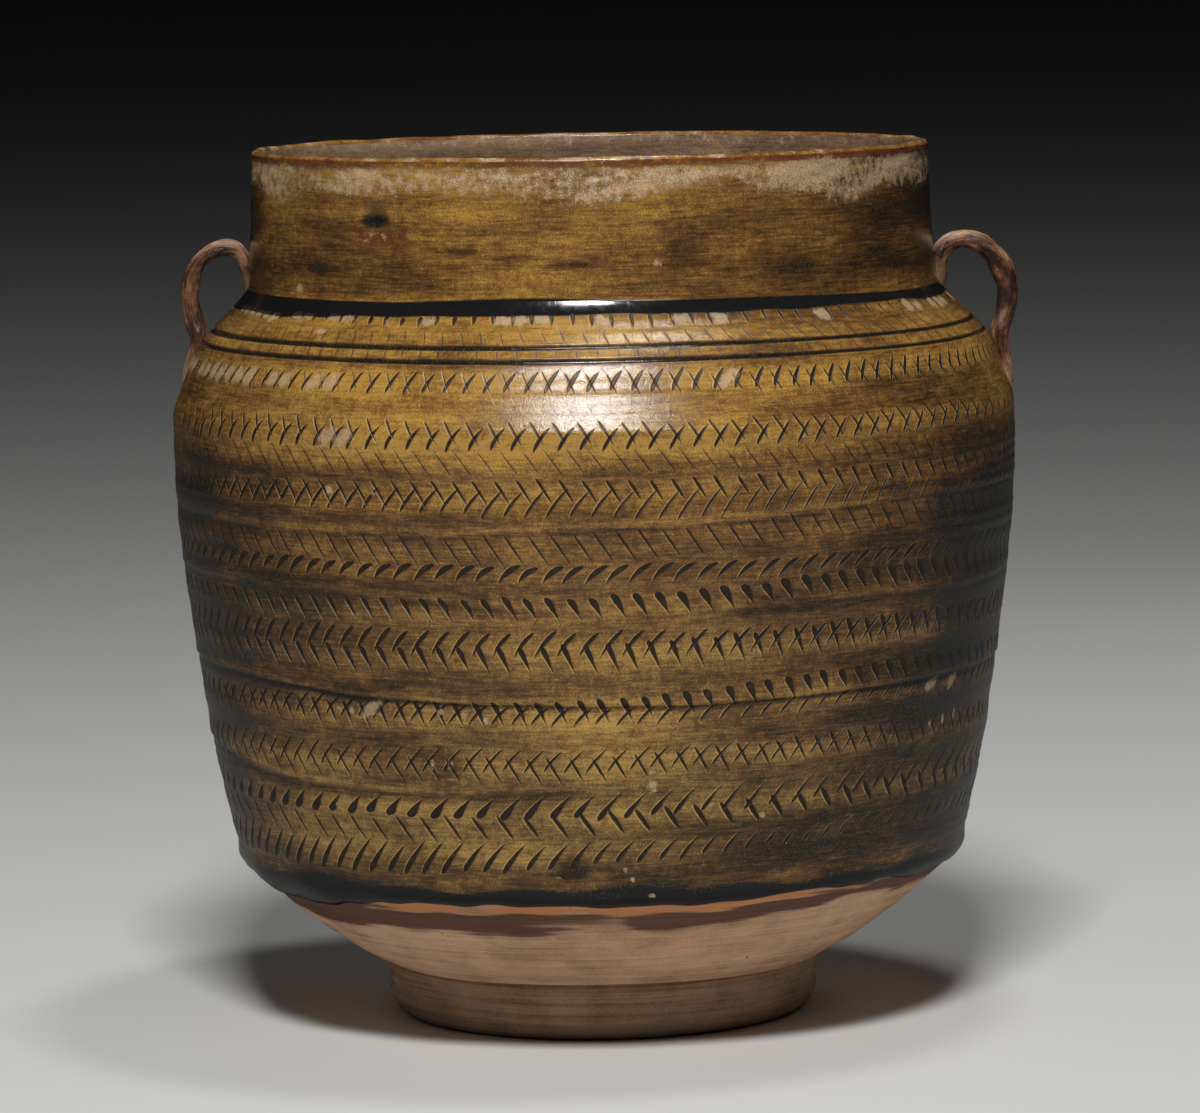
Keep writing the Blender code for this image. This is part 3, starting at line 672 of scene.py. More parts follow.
def glazeMaterial(name, values, withCuts):
    # Stoneware under a brushed iron glaze, fired glossy: amber where thin and nearly black
    # where it pools. Brush lines run round it, fine crystals mottle it and rough up its
    # highlights, and clay shows where it crawled or wore away.
    material, add, place, (pool, bare, iron), noises = startMaterial(name, values["noises"])
    brush, broad, grain, mottle = noises
    # Thickness is the field plus every noise about its middle; pools lie calm and smooth
    calm = add("MapRange", pool, *values["calm"], 1.0, 0.10)[0]
    uneven, height = values["offset"][0], 0.0
    for noise, share, lift in zip(noises, values["uneven"], values["relief"]):
        uneven = add("Math MULTIPLY_ADD", noise, share, uneven)[0]
        height = add("Math MULTIPLY_ADD", noise, lift, height)[0]
    thick = add("Math MULTIPLY_ADD", uneven, calm, pool)[0]
    thick = add("Math ADD", thick, values["offset"][1])[0]
    height = add("Math MULTIPLY", height, calm)[0]
    crawled, sunk, dull = 0.0, 0.0, 0.0
    for family in ("rising", "falling") if withCuts else ():
        groove, gathered, burr, patch, ridge, carved = [
            add("Math MULTIPLY", part, calm)[0]
            for part in addCuts(add, family, grain, mottle)]
        for part, share in ((carved, -values["cutDepth"]), (burr, values["burrHeight"])):
            height = add("Math MULTIPLY_ADD", part, share, height)[0]
        for part, share in ((groove, 0.12), (gathered, 0.14), (burr, -0.50), (ridge, -0.10)):
            thick = add("Math MULTIPLY_ADD", part, share, thick)[0]
        sunk, dull, crawled = [
            add("Math MAXIMUM", part, before)[0]
            for part, before in ((groove, sunk), (gathered, dull), (patch, crawled))]
    colour = add("ValToRGB", thick, stops=[
        (0.08, values["thin"]), (0.36, values["usual"]), (0.56, values["brown"]),
        (0.82, values["thick"]), (1.0, values["black"])])["Color"]
    # Yellow-green crystals where the grain is coarse, and the darkest glaze in the cuts
    greener = add("MapRange", {0: grain, 1: 0.52, 2: 0.68, 4: 0.45})[0]
    greener = add("Math MULTIPLY", greener, calm)[0]
    colour = add("Mix", {0: greener, 6: colour, 7: values["olive"]}, data_type="RGBA",
                 blend_type="LIGHTEN")[2]
    colour = add("Mix", {0: sunk, 6: colour, 7: values["groove"]}, data_type="RGBA")[2]
    # Ash greys it towards the foot, and iron reddens it where the field has it
    up = add("SeparateXYZ", place)[2]
    strength = add("MapRange", up, 0.07, 0.21, *values["saturation"])[0]
    tint = add("MapRange", up, 0.07, 0.15, 0.508, 0.5)[0]
    colour = add("HueSaturation", {"Hue": tint, "Saturation": strength, "Color": colour})[0]
    redder = add("Math ADD", mottle, iron)[0]
    redder = add("MapRange", redder, 0.56, 0.95)[0]
    redder = add("Math MULTIPLY", redder, calm)[0]
    colour = add("Mix", {0: redder, 6: colour, 7: values["iron"]}, data_type="RGBA")[2]
    # Bare clay where the field, broken up by the noises, passes a half
    edge = bare
    for noise, share in ((mottle, 1.1), (grain, 0.6)):
        edge = add("Math MULTIPLY_ADD", noise, share, edge)[0]
    bareMask = add("MapRange", edge, 1.12, 1.50, interpolation_type="SMOOTHSTEP")[0]
    bareMask = add("Math MULTIPLY_ADD", crawled, 0.8, bareMask, use_clamp=True)[0]
    bareMask = add("Math MULTIPLY", bareMask, values["clayShow"])[0]
    clayTone = add("MapRange", grain, 0.38, 0.60)[0]
    clay = add("Mix", {0: clayTone, 6: values["clay"], 7: values["clayPale"]}, data_type="RGBA")[2]
    colour = add("Mix", {0: bareMask, 6: colour, 7: clay}, data_type="RGBA")[2]
    smooth = add("MapRange", calm, 0.1, 1.0, 0.75, 1.0)[0]
    gloss = add("MapRange", mottle, 0.3, 0.7, *values["roughness"])[0]
    gloss = add("Math MULTIPLY", gloss, smooth)[0]
    gloss = add("Math MULTIPLY_ADD", dull, 0.28, gloss)[0]
    rough = add("Mix", {0: bareMask, 2: gloss, 3: values["clayRoughness"]})[0]
    height = add("Math MULTIPLY_ADD", bareMask, -0.05, height)[0]
    finishMaterial(add, colour, rough, height, values["ior"])
    return material


clayValues = {
    "ior": 1.45, "roughness": 0.82,
    "clay": "#c99f7d", "clayPale": "#dcb592", "clayDark": "#a07a5a",
    "orange": "#cd8650", "stain": "#573324", "grey": "#8d7763", "pit": "#3c2b20",
    "noises": [
        ((22, 22, 1100), 6.0, 0.65),        # lines of the turning tool 1 mm apart
        ((1700, 1700, 1700), 3.0, 0.6),     # grit 0.6 mm across
        ((70, 70, 70), 5.0, 0.6),           # clouds 14 mm across
    ],
    "tone": (0.8, 0.5, 0.8),                # what each noise adds to the tone
    "pitCells": 260.0,                      # cells per metre that can have a pit in their middle
}


def clayMaterial(name, values):
    # Bare stoneware clay, turned when leather-hard: dull buff to pink, with tool lines round
    # the axis, dragged grit and small pits, and iron flashed orange and brown by the glaze
    material, add, place, washes, noises = startMaterial(name, values["noises"])
    lines, grit, cloud = noises
    tone = -0.5
    for noise, share in zip(noises, values["tone"]):
        tone = add("Math MULTIPLY_ADD", noise, share, tone)[0]
    colour = add("ValToRGB", tone, stops=[
        (0.30, values["clayDark"]), (0.55, values["clay"]), (0.82, values["clayPale"])])["Color"]
    wander = add("Math MULTIPLY_ADD", lines, 1.7, -0.85)[0]
    for wash, key in zip(washes, ("orange", "stain", "grey")):
        amount = add("Math ADD", wash, wander)[0]
        amount = add("MapRange", {0: amount, 1: 0.25, 2: 0.75, 4: 0.9}, interpolation_type="SMOOTHSTEP")[0]
        colour = add("Mix", {0: amount, 6: colour, 7: values[key]}, data_type="RGBA")[2]
    # Pits: the middles of scattered cells, only where the clouds allow them
    cells = add("TexVoronoi", {"Vector": place, "Scale": values["pitCells"]})["Distance"]
    pit = add("MapRange", cells, 0.12, 0.05)[0]
    rare = add("MapRange", cloud, 0.55, 0.62)[0]
    pit = add("Math MULTIPLY", pit, rare)[0]
    colour = add("Mix", {0: pit, 6: colour, 7: values["pit"]}, data_type="RGBA")[2]
    height = 0.0
    for part, lift in ((lines, 0.16), (grit, 0.07), (pit, -0.3)):
        height = add("Math MULTIPLY_ADD", part, lift, height)[0]
    finishMaterial(add, colour, values["roughness"], height, values["ior"])
    return material


bodyGlaze = glazeMaterial("brushed iron glaze over chatter cuts", glazeValues, True)
collarGlaze = glazeMaterial("brushed iron glaze, worn at the rim", glazeValues, False)
insideValues = dict(glazeValues, thin="#9c7c5a", usual="#806145", brown="#634832", thick="#38281b",
                    clay="#9a8068", olive="#7a6240", roughness=(0.32, 0.5), saturation=(0.9, 0.9))
insideGlaze = glazeMaterial("thin inside glaze on thrown clay", insideValues, False)
bowlClay = clayMaterial("bare turned stoneware clay", clayValues)
footValues = dict(clayValues, clay="#a3856a", clayPale="#bd9e80", clayDark="#765c47")
footClay = clayMaterial("bare turned foot clay, greyed by handling", footValues)
print("glaze and clay materials are made")

# Turned pieces


def insideFields(turn, level, bare=0.0):
    # The inside has a thinner glaze with throwing rings and no cuts
    pool = 0.12 * waves(turn, level, 41, 10, (0, 4), (0.05, 0.6)) - 0.15
    return np.stack(np.broadcast_arrays(pool, bare, 0.0), -1)


def makeWall(names, levels, innerLevels, extra=0.0):
    # Outside rows, which are arrays of height round the axis, lifted by their relief and by
    # extra, then inside rows
    turn = aroundAxis(levels.shape[1] - 1)
    outerR, outerZ = liftSkin(levels, wallRelief(turn, levels) + extra)
    innerR = inside(innerLevels) + 0.25 * waves(turn, innerLevels, 45, 10, (0, 2), (0.2, 0.7))
    innerR[0], innerR[-1] = inside(innerLevels[0]), inside(innerLevels[-1])
    fields = {
        "skin": skinMap(turn, np.concatenate([levels, innerLevels])),
        "coat": np.concatenate([np.stack(wallCoat(turn, levels), -1), insideFields(turn, innerLevels)]),
    }
    # Inside there is no stroke: a row number far from a whole one, and no width
    noStroke = ([0.0, 0.5, 1.0], [0.0, 0.0, 0.0])
    for family in ("rising", "falling"):
        outside = cutFields(turn[0], levels, family)
        for key, field, nothing in zip((family, family + "Form"), outside, noStroke):
            fields[key] = np.concatenate([field, np.broadcast_to(nothing, (*innerLevels.shape, 3))])
    turnedPiece(names, np.concatenate([outerR, innerR]), np.concatenate([outerZ, innerLevels]), fields,
                [bodyGlaze, insideGlaze], np.repeat([0, 1], [len(levels), len(innerLevels)]))


turns = aroundAxis(jar["columns"])
seamLine = ledgeLine(turns, 0) - 0.25     # the wall's joint hides under the ledge
topLine = np.full(turns.shape, relief["lines"]["lower"])
collarFoot = np.full(turns.shape, 211.0)
bowlTop = np.full(turns.shape, 47.4)

makeWall(("upperWall", "upper_wall", "body_glaze"),
         rowsBetween(topLine, seamLine, twoSpans(0, 0.02, 1, 8, 114)),
         rowsBetween(seamLine, topLine, np.linspace(0, 1, 11)))

# Lower wall: its outside ends in the roll of glaze, which lies over the bowl's clay

rollValues = {
    "angles": [-180, -130, -90, -62, -49, -40, -37, -29, -24, -22, -19, -10, 0, 10, 20, 30, 36, 43,
               46, 49, 54, 58, 62, 90, 130],
    "edge": [43.5, 44, 42.5, 40.6, 41.2, 43.6, 44.2, 45.3, 45.2, 44.6, 45.4, 45.1, 45.1, 44.7, 45.2,
             46.2, 46.8, 46.2, 45.3, 46.3, 46.0, 43.6, 45.0, 44, 44.5],
    "thickness": 0.85,
    "tuck": (0.5, -0.7),     # the last row goes up by this and in by this
}
rollEdge = (roundAxis(turns, rollValues["angles"], rollValues["edge"], 1.3)
            + 0.22 * waves(turns, 0.0, 95, 14, (6, 60)))
rollShares = np.concatenate([np.linspace(0, 0.86, 74), 1 - 0.14 * np.linspace(1, 0, 20)[1:] ** 1.6])
lowRows = np.concatenate([rowsBetween(seamLine, rollEdge, rollShares), rollEdge + rollValues["tuck"][0]])
# Bulge of the pooled glaze: thickness times a smooth rise below its top
rounded = np.sqrt(np.clip((lowRows - rollEdge) / 1.6, 0, 1))
bulge = rollValues["thickness"] * smoothStep(53.5, 48.5, lowRows) * rounded * (
    1 + 0.25 * waves(turns, lowRows, 96, 10, (2, 22), (0.0, 0.2)))
bulge[-1] += rollValues["tuck"][1]
makeWall(("lowerWall", "lower_wall", "body_glaze"), lowRows,
         rowsBetween(bowlTop, seamLine, np.linspace(0, 1, 10)), bulge)

# Shoulder

makeWall(("shoulderRing", "shoulder", "shoulder_glaze"),
         rowsBetween(collarFoot, topLine, twoSpans(0, 0.68, 1, 52, 44)),
         rowsBetween(topLine, collarFoot, np.linspace(0, 1, 8)))

# Collar

collarValues = {
    "top": 248.8, "foot": 211.0,
    "lipRise": 1.15, "lipWobble": 0.10,
    "bead": 0.25, "hollow": 0.15,     # just below the lip
    "chips": 0.10,
    "wornFrom": 238.5, "worn": 0.47,  # the worn band below the lip
    "stainFrom": 247.3, "stain": (0.26, 0.12),     # iron red on the lip, and more on the right
    "scar": [(-37.4, 228.4, 4.6, 2.5, 0.36)],      # angle, height, half sizes and redness
}


def makeCollar(turn, values):
    # The wall's skin with less relief, and a lip that is half an ellipse between its sides
    top, foot = values["top"], values["foot"]
    degrees = np.degrees(turn)
    flat = np.zeros_like(turn)
    outer = twoSpans(top, 213, foot, 58, 6)[:, None] + flat
    inner = np.linspace(foot, top, 34)[:, None] + flat
    lip = np.linspace(0, math.pi, 15)[1:-1, None] + flat
    height = wallRelief(turn, outer) * smoothStep(252, 240, outer) * 0.8
    height += values["bead"] * bell(outer, 248.3, 1.1) - values["hollow"] * bell(outer, 245.6, 1.3)
    chips = values["chips"] * waves(turn, outer, 103, 24, (10, 60), (0.2, 2.0))
    height += chips * smoothStep(238, 244, outer)
    outerR, outerZ = liftSkin(outer, height)
    innerR = inside(inner) + 0.15 * waves(turn, inner, 104, 10, (0, 3), (0.15, 0.6))
    middle, half = (outerR[0] + innerR[-1]) / 2, (outerR[0] - innerR[-1]) / 2
    lipR = middle + half * np.cos(lip)
    lipRise = values["lipRise"] + values["lipWobble"] * waves(turn, 0.0, 101, 9, (3, 31))
    lipZ = top + lipRise * np.sin(lip)
    # The worn band is deeper at some places, and missing at the dark stretch on the right
    pool, bare, iron = wallCoat(turn, outer)
    wornLine = (values["wornFrom"] + 1.6 * waves(turn, 0.0, 105, 9, (2, 24))
                - 3.5 * bell(degrees, 47, 8) + 1.0 * bell(degrees, -50, 15))
    worn = smoothStep(-4.5, 4.0, outer - wornLine) * (1 - 0.75 * smoothStep(246.6, 248.0, outer))
    worn *= values["worn"] + 0.08 * waves(turn, outer, 106, 12, (2, 18), (0.0, 0.5))
    worn += 0.35 * bell(degrees, 40, 6) * bell(outer, 243.5, 3.5)
    worn += 0.12 * bell(degrees, 22, 12) * bell(outer, 244.5, 2.5)
    stainLine = values["stainFrom"] + 0.5 * waves(turn, 0.0, 107, 10, (3, 40))
    stain, onRight = values["stain"]
    red = stain + onRight * smoothStep(0, 15, degrees) * inFront(degrees)
    red = red * smoothStep(-0.6, 0.6, outer - stainLine)
    for angle, centre, halfAngle, halfHeight, amount in values["scar"]:
        red += amount * bell(degrees, angle, halfAngle) * bell(outer, centre, halfHeight)
    outerCoat = np.stack([pool + 0.1 * red, bare + worn, iron + red], -1)
    innerCoat = insideFields(turn, inner, 0.35 * smoothStep(243, 248, inner))
    lipBare = 0.28 + 0.14 * waves(turn, 0.0, 108, 12, (3, 50)) + np.zeros_like(lip)
    lipCoat = np.stack(np.broadcast_arrays(-0.1, lipBare, 0.22), -1)
    # From the outside over the lip to the inside, then the rows run down the outside
    turnedPiece(("collarRing", "collar", "collar_glaze"), np.concatenate([outerR, innerR, lipR[::-1]]),
                np.concatenate([outerZ, inner, lipZ[::-1]]),
                {"coat": np.concatenate([outerCoat, innerCoat, lipCoat])},
                [collarGlaze, insideGlaze], np.repeat([0, 1, 0], [len(outer), len(inner), len(lip)]))


makeCollar(turns, collarValues)

# Bowl

bowlValues = {
    "columns": 640,
    "rings": [(0.10, 111, 12, (0, 1), (0.5, 1.6)),      # broad turning rings
              (0.05, 112, 16, (0, 1), (2.5, 5.0))],     # and lines of the tool
    "hollow": 0.25, "seat": 0.35,     # above the foot, and under the roll of glaze
    # Radius and height of the underside inwards and of the floor outwards
    "under": [(62.0, 16.9), (50.0, 16.9), (50.0, 8.0), (48.0, 8.0), (36.0, 8.1), (22.0, 8.2),
              (10.0, 8.2), (0.0, 8.2)],
    "floor": [(0.0, 19.0), (9.0, 19.1), (18.0, 19.0), (27.0, 19.1), (36.0, 19.2), (43.0, 20.0),
              (52.0, 22.3)],
    # Angles, and heights of the orange strip under the glaze and of the stain below that
    "orange": ([-180, -100, -62, -45, -35, -15, 0, 17, 33, 45, 60, 110],
               [1, 1, 0.0, 0.6, 2.4, 2.8, 2.2, 2.4, 1.8, 1.2, 0.5, 1]),
    "stain": ([-180, -100, -56, -38, -18, -4, 2, 8, 17, 31, 45, 110],
              [4, 4, 4.6, 5.6, 6.4, 5.8, 3.6, 5.2, 5.4, 4.0, 2.0, 4]),
}


def bowlCoat(turn, level, values):
    # Shares of orange flash, brown stain and grey of the bare clay
    degrees = np.degrees(turn)
    low = (roundAxis(turn, rollValues["angles"], rollValues["edge"], 1.3)
           - roundAxis(turn, *values["orange"], 4))
    orange = smoothStep(-1.2, 0.6, level - low - 0.3 * waves(turn, 0.0, 114, 9, (3, 40)))
    orange *= 0.8 + 0.2 * waves(turn, level, 118, 10, (2, 24), (0.2, 1.0))
    orange *= 1 - (smoothStep(-39, -46, degrees) + 0.6 * smoothStep(36, 50, degrees)) * inFront(degrees)
    bottom = low - roundAxis(turn, *values["stain"], 3)
    stain = smoothStep(-3.0, 1.5, level - bottom - 0.5 * waves(turn, 0.0, 115, 10, (2, 30)))
    stain *= (1 - orange) * (0.92 + 0.2 * waves(turn, 0.5 * level, 116, 12, (1, 14), (0.2, 2.0))
                             - 0.25 * bell(degrees, 2, 2.5))
    stain += (0.5 * smoothStep(-40, -52, degrees) * inFront(degrees)
              * smoothStep(-2.5, 0.5, level - bottom))
    grey = 0.06 + 0.12 * smoothStep(24, 18, level) + 0.1 * waves(turn, level, 117, 8, (0, 4), (0.1, 0.6))
    return np.stack([orange, stain, grey - 0.3 * orange], -1)


def makeBowl(values):
    # Outline from the middle of the floor up the inside and down the outside to the underside
    turn = aroundAxis(values["columns"])
    flat = np.zeros_like(turn)
    outer = np.linspace(47.4, 16.7, 92)[:, None] + flat
    inner = np.linspace(26.5, 47.4, 16)[:, None] + flat
    height = lumps(turn, outer, values["rings"] + relief["outOfRound"])
    height -= values["hollow"] * bell(outer, 18.6, 1.6) + values["seat"] * smoothStep(44, 46.5, outer)
    outerR, outerZ = liftSkin(outer, height)
    innerR = inside(inner) + 0.2 * waves(turn, inner, 113, 8, (0, 2), (0.2, 0.8))
    (floorR, floorZ), (underR, underZ) = [np.array(values[key]).T[:, :, None] + flat
                                          for key in ("floor", "under")]
    coatUnder = np.broadcast_to([0.0, 0.0, 0.45], (*underR.shape, 3))
    turnedPiece(("turnedBowl", "lower_bowl", "bare_clay"),
                np.concatenate([floorR, innerR, outerR, underR]),
                np.concatenate([floorZ, inner, outerZ, underZ]),
                {"coat": np.concatenate([insideFields(turn, floorZ), insideFields(turn, inner),
                                         bowlCoat(turn, outer, values), coatUnder])},
                [bowlClay, insideGlaze],
                np.repeat([1, 0], [len(floorR) + len(inner) - 1, 1 + len(outer) + len(underR)]),
                poles=True)


makeBowl(bowlValues)

# Foot ring

footShape = {
    "columns": 640,
    # Radius and height of the outside, which is rounded, and of the sole and the inside
    "outside": [(61.3, 16.7), (62.0, 15.9), (62.2, 14.5), (61.9, 12.5), (61.8, 9.0), (61.6, 6.2),
                (61.0, 4.2), (59.8, 2.2), (58.3, 0.7), (56.8, 0.0)],
    "inside": [(55.0, 0.0), (53.2, 0.0), (51.8, 0.0), (50.8, 0.5), (50.3, 1.5), (50.3, 6.0),
               (50.3, 11.0), (50.3, 16.7)],
    "sideFrom": 57,     # radius from which the outside has lumps and chips
    "lumps": [(0.14, 121, 10, (0, 1), (0.6, 2.0)), (0.05, 122, 14, (0, 1), (2.5, 6.0)),
              (0.12, 123, 8, (2, 9), (0.0, 0.3))],
    "chips": [(-33, 2, 3, 2, 0.5), (21, 1.5, 2.2, 1.6, 0.45), (48, 3, 3, 2, 0.4)],
}


def makeFoot(values):
    # A closed outline carried round the axis, with lumps and chips on its outside
    turn = aroundAxis(values["columns"])
    outline = np.vstack([smoothLine(values["outside"], 6), values["inside"]])
    radii, levels = outline.T[:, :, None] + np.zeros_like(turn)
    height = lumps(turn, levels, values["lumps"]) * smoothStep(0.4, 3.0, levels)
    radii += height * (radii > values["sideFrom"])
    radii -= ellipses(turn, levels, 60, values["chips"]) * (radii > values["sideFrom"])
    # Painted shade: greyer and darker towards the rounded sole, which faces down; and a thin dark line at
    # the top, under the bowl
    grey = 0.16 + 0.35 * smoothStep(6.5, 1.5, levels) - 0.15 * smoothStep(14.6, 16.0, levels)
    grey += 0.1 * waves(turn, levels, 124, 10, (1, 6), (0.1, 0.8))
    dark = 0.35 * smoothStep(3.5, 0.3, levels) + 0.12 * smoothStep(16.3, 16.7, levels)
    turnedPiece(("footRing", "foot_ring", "foot_clay"), radii, levels,
                {"coat": np.stack([0.18 * bell(levels, 15.2, 1.2), dark, grey], -1)}, [footClay],
                np.zeros(len(outline), int))


makeFoot(footShape)

# Handles

handleValues = {
    # Distance from the axis, height, half thickness in the loop's plane and half width across it
    "left": [(96.8, 204.5, 0.6, 1.6), (97.6, 207.0, 1.6, 3.0), (98.4, 211.0, 1.7, 2.6),
             (98.9, 215.0, 1.9, 2.5), (99.9, 218.6, 2.3, 2.6), (102.0, 221.0, 2.6, 2.8),
             (105.0, 221.9, 2.5, 2.9), (108.6, 221.1, 2.2, 2.8), (112.2, 218.5, 2.2, 2.6),
             (114.6, 214.6, 2.4, 2.5), (115.4, 209.6, 2.6, 2.5), (115.1, 205.0, 2.6, 2.6),
             (114.2, 200.8, 2.7, 2.9), (113.6, 197.4, 2.4, 3.4), (113.7, 194.4, 2.1, 3.4),
             (115.4, 190.0, 1.6, 2.6), (117.0, 185.6, 1.1, 1.8), (118.0, 182.0, 0.4, 0.9)],
    "right": [(97.2, 203.5, 0.8, 2.0), (98.4, 206.4, 2.2, 3.9), (99.6, 209.5, 2.6, 3.8),
              (99.9, 213.5, 2.5, 3.2), (100.4, 217.2, 2.7, 3.0), (103.0, 219.7, 2.7, 2.8),
              (107.4, 220.9, 2.6, 2.7), (111.8, 219.6, 2.8, 2.7), (115.8, 216.0, 3.1, 2.8),
              (118.6, 211.2, 3.3, 2.8), (119.6, 206.0, 3.0, 2.8), (119.3, 201.6, 2.8, 2.9),
              (118.2, 197.8, 2.7, 3.3), (117.0, 194.0, 2.8, 3.6), (117.3, 189.6, 2.5, 3.0),
              (118.9, 184.8, 1.9, 2.2), (119.9, 180.6, 1.2, 1.6), (120.2, 176.6, 0.5, 0.8)],
    "sides": 56, "perSpan": 12,
    "mapLength": 60,     # millimetres of the coil that the piece's map is long
    "ior": 1.5,
    "mid": "#8f6d50", "olive": "#6b5836",
}


def coilMaterial(name, top, bare, dark):
    # Rolled coil of iron-red clay under a thin glaze, worn pale along its edges, with painted light on its
    # top and painted shade beneath.
    # The streaks follow the piece's own map, and the spots are 1.7 mm across.
    material, add, _, (wearAndPaintedLight, olive, _), (spots,) = startMaterial(name, [((600, 600, 600), 4.0, 0.65)])
    runs = add("UVMap", uv_map="skin")["UV"]
    stretched = add("VectorMath MULTIPLY", runs, (9.0, 26.0, 1.0))[0]
    streak = add("TexNoise", {"Vector": stretched, "Scale": 1.0, "Detail": 5.0, "Roughness": 0.6})["Fac"]
    tone = add("Math MULTIPLY_ADD", streak, 0.9, wearAndPaintedLight)[0]
    tone = add("Math MULTIPLY_ADD", spots, 0.6, tone)[0]
    tone = add("Math SUBTRACT", tone, 0.45)[0]
    colour = add("ValToRGB", tone, stops=[
        (0.12, dark), (0.38, bare), (0.56, handleValues["mid"]), (0.80, top)])["Color"]
    olive = add("Math ADD", olive, spots)[0]
    olive = add("MapRange", olive, 0.7, 1.1)[0]
    colour = add("Mix", {0: olive, 6: colour, 7: handleValues["olive"]}, data_type="RGBA")[2]
    rough = add("MapRange", tone, 0.2, 0.8, 0.34, 0.72)[0]
    height = add("Math MULTIPLY", streak, 0.30)[0]
    height = add("Math MULTIPLY_ADD", spots, 0.16, height)[0]
    finishMaterial(add, colour, rough, height, handleValues["ior"])
    return material


def makeHandle(names, side, stations, material, seed):
    # An oval carried along the loop's middle line: centre + a cos(f) n + b sin(f) across,
    # with n the line's normal in the loop's plane
    line = smoothLine(stations, handleValues["perSpan"])
    centre, half, width = line[:, :2], line[:, 2:3], line[:, 3:]
    tangent = np.gradient(centre, axis=0)
    tangent /= np.linalg.norm(tangent, axis=1)[:, None]
    normal = np.stack([-tangent[:, 1], tangent[:, 0]], 1)
    along = np.concatenate([[0], np.cumsum(np.linalg.norm(np.diff(centre, axis=0), axis=1))])[:, None]
    rows, sides = len(centre), handleValues["sides"]
    turn = aroundAxis(sides)
    uneven = 1 + lumps(turn, along, [(0.045, seed, 12, (1, 4), (0.1, 0.7)),
                                     (0.02, seed + 1, 12, (3, 9), (0.5, 1.6))])
    crease = 1 - 0.09 * bell(turn, 0.9, 0.25) - 0.07 * bell(turn, -1.9, 0.3)
    a = half * np.cos(turn) * (uneven * crease)
    b = width * np.sin(turn) * (uneven * crease)
    points = np.stack([(centre[:, :1] + a * normal[:, :1]) * side, b * side,
                       centre[:, 1:] + a * normal[:, 1:]], -1)[:, :sides].reshape(-1, 3)
    quads, corners = [faces[:, [0, 3, 2, 1]] for faces in gridFaces(rows, sides, False)]
    # A point closes each end
    first, last = len(points), len(points) + 1
    points = np.vstack([points, points[:sides].mean(0), points[-sides:].mean(0)])
    ring = np.arange(sides)
    onward = (ring + 1) % sides
    end, endCorner = (rows - 1) * sides, (rows - 1) * (sides + 1)
    caps = np.vstack([np.stack([np.full(sides, first), onward, ring], 1),
                      np.stack([np.full(sides, last), end + ring, end + onward], 1)])
    capCorners = np.vstack([np.stack([ring, ring + 1, ring], 1),
                            np.stack([ring, ring, ring + 1], 1) + endCorner])
    # Paler where the surface looks up or outwards, partly wear and partly painted light, and darker beneath
    # as painted shade; olive glaze low on the inner leg
    up = normal[:, 1:] * np.cos(turn)
    share = along / along[-1]
    wearAndPaintedLight = 0.42 * smoothStep(0.1, 0.95, up) - 0.10 + 0.35 * smoothStep(0.82, 0.95, share)
    wearAndPaintedLight += 0.12 * waves(turn, along, seed + 2, 8, (0, 3), (0.1, 0.6))
    olive = 0.5 * smoothStep(0.26, 0.10, share)
    fields = {"skin": (along / handleValues["mapLength"], turn / math.tau),
              "coat": (wearAndPaintedLight, olive, 0.0)}
    fields = {key: np.stack([part + 0 * wearAndPaintedLight for part in parts], -1) for key, parts in fields.items()}
    fillMesh(names, points, quads, caps, fields, np.concatenate([corners.ravel(), capCorners.ravel()]),
             [material], np.zeros(len(quads) + len(caps), int))


leftCoil = coilMaterial("worn coil clay with painted light, left loop", "#b8a390", "#7e543a", "#3f2a1d")
rightCoil = coilMaterial("glazed coil clay, right loop", "#b69a80", "#75492f", "#2e1d16")
makeHandle(("leftLoop", "handle_left", "handle_clay"), -1, handleValues["left"], leftCoil, 131)
makeHandle(("rightLoop", "handle_right", "handle_clay"), 1, handleValues["right"], rightCoil, 141)

# Studio: camera, pale floor and lights

camera = {
    "focal": 6033.4,          # pixels, for a picture 1200 pixels wide
    "place": (0.0011044, -1.7332, 0.31342),
    "pitchDown": 6.0105, "roll": -0.9885,
}
cameraData = bpy.data.cameras.new("studioCamera")
cameraData.sensor_width = 36
cameraData.lens = camera["focal"] * 36 / 1200
cameraData.clip_end = 200
cameraObject = bpy.data.objects.new("studioCamera", cameraData)
scene.collection.objects.link(cameraObject)
pitch, roll = math.radians(camera["pitchDown"]), math.radians(camera["roll"])
forward = Vector((0, math.cos(pitch), -math.sin(pitch)))
level = Vector((1, 0, 0))
upright = level.cross(forward)
right = level * math.cos(roll) + upright * math.sin(roll)
up = -level * math.sin(roll) + upright * math.cos(roll)
cameraObject.matrix_world = Matrix.Translation(camera["place"]) @ Matrix(
    (right, up, -forward)).transposed().to_4x4()
scene.camera = cameraObject

floorValues = {"paint": "#d4d4d2", "inReflections": "#7c7c7a", "reach": 40.0}
floorMaterial = bpy.data.materials.new("pale painted studio floor")
floorMaterial.use_nodes = True
floorTree = floorMaterial.node_tree
floorSurface = floorTree.nodes["Principled BSDF"]
floorSurface.inputs["Roughness"].default_value = 0.9
floorSurface.inputs["Specular IOR Level"].default_value = 0.1
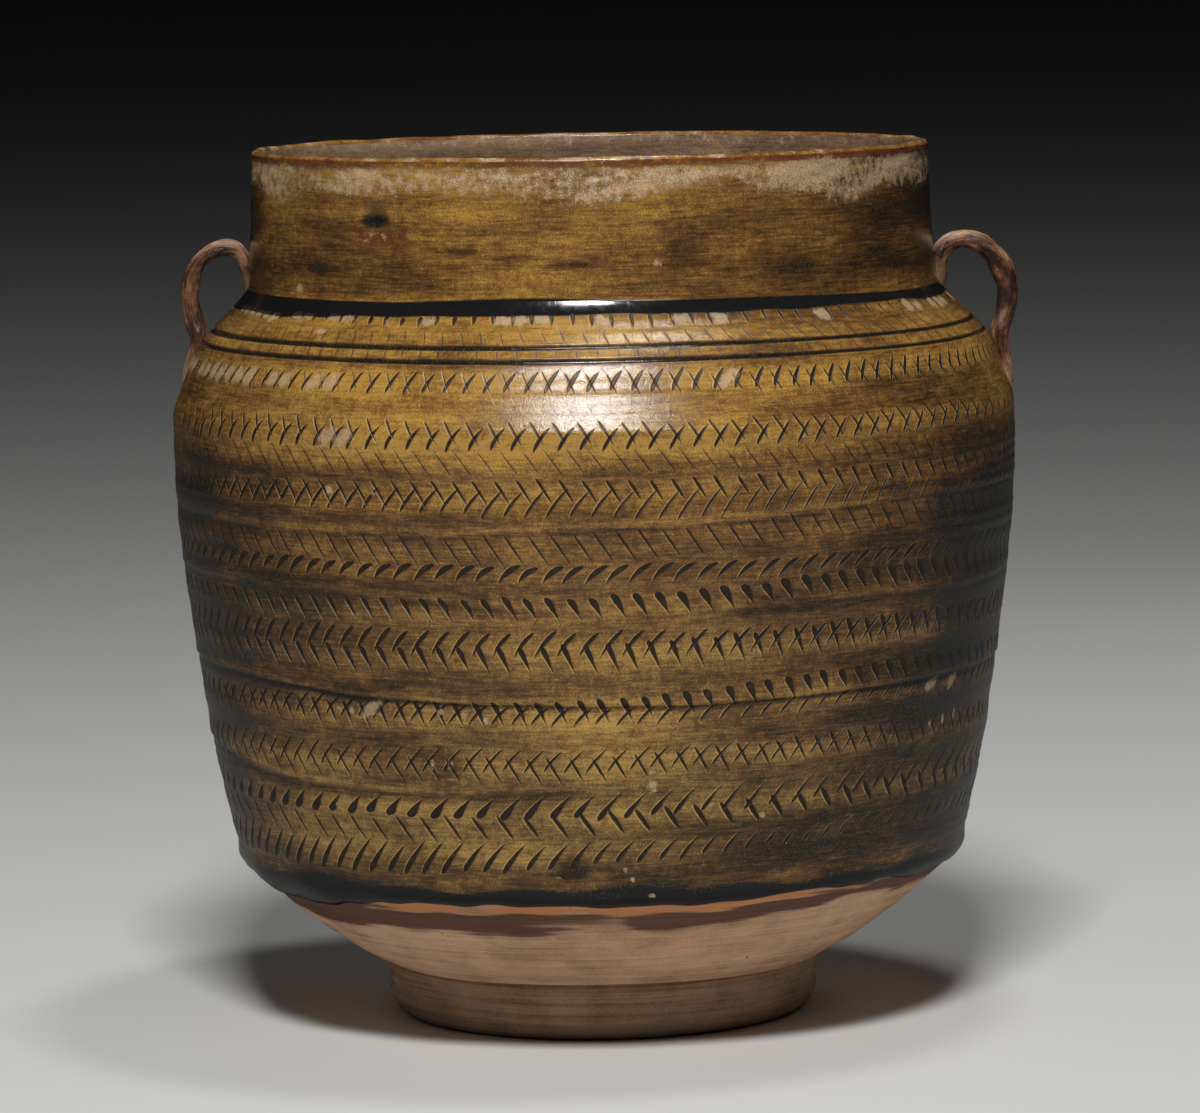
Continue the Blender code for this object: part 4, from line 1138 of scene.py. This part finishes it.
# Reflections see a darker floor, as through a polarising filter
mirrored = addNode(floorTree, "LightPath")["Is Glossy Ray"]
paint = addNode(floorTree, "Mix", {0: mirrored, 6: floorValues["paint"], 7: floorValues["inReflections"]},
                data_type="RGBA")[2]
floorTree.links.new(paint, floorSurface.inputs["Base Color"])
floorMesh = bpy.data.meshes.new("studioFloor")
reach = floorValues["reach"]
floorMesh.from_pydata([(-reach, -reach, 0), (reach, -reach, 0), (reach, reach, 0), (-reach, reach, 0)],
                      [], [(0, 1, 2, 3)])
floorMesh.materials.append(floorMaterial)
floor = bpy.data.objects.new("studioFloor", floorMesh)
scene.collection.objects.link(floor)

lights = {
    # Azimuth from the front (right is plus) and elevation in degrees, distance, width, height, watts
    "frontSoftbox": (-1.5, 48.0, 2.16, 0.42, 0.34, 41.0),
    "topSoftbox": (103, 82, 1.15, 0.14, 0.14, 2.9),
    "rightFill": (141, 27.5, 1.0, 0.69, 0.69, 0.5),
    "leftFill": (-100, 33.3, 2.09, 1.12, 1.12, 1.9),
}
litPoint = Vector((0, 0, 0.12))     # metres, at the jar's middle
for name, (azimuth, elevation, distance, width, tall, watts) in lights.items():
    lightData = bpy.data.lights.new(name, "AREA")
    lightData.shape = "RECTANGLE"
    lightData.size = width
    lightData.size_y = tall
    lightData.energy = watts
    lamp = bpy.data.objects.new(name, lightData)
    turnAngle, rise = math.radians(azimuth), math.radians(elevation)
    towards = Vector((math.sin(turnAngle) * math.cos(rise), -math.cos(turnAngle) * math.cos(rise),
                      math.sin(rise)))
    lamp.location = litPoint + towards * distance
    aim = towards if name != "topSoftbox" else Vector((0, 0, 1))
    lamp.rotation_euler = aim.to_track_quat("Z", "Y").to_euler()
    lamp.visible_glossy = "Fill" not in name
    scene.collection.objects.link(lamp)

world = bpy.data.worlds.new("studioWorld")
world.use_nodes = True
world.node_tree.nodes["Background"].inputs["Color"].default_value = (1, 1, 1, 1)
world.node_tree.nodes["Background"].inputs["Strength"].default_value = 0.004
scene.world = world
scene.view_settings.view_transform = "Standard"
scene.view_settings.look = "None"
print("studio is lit")
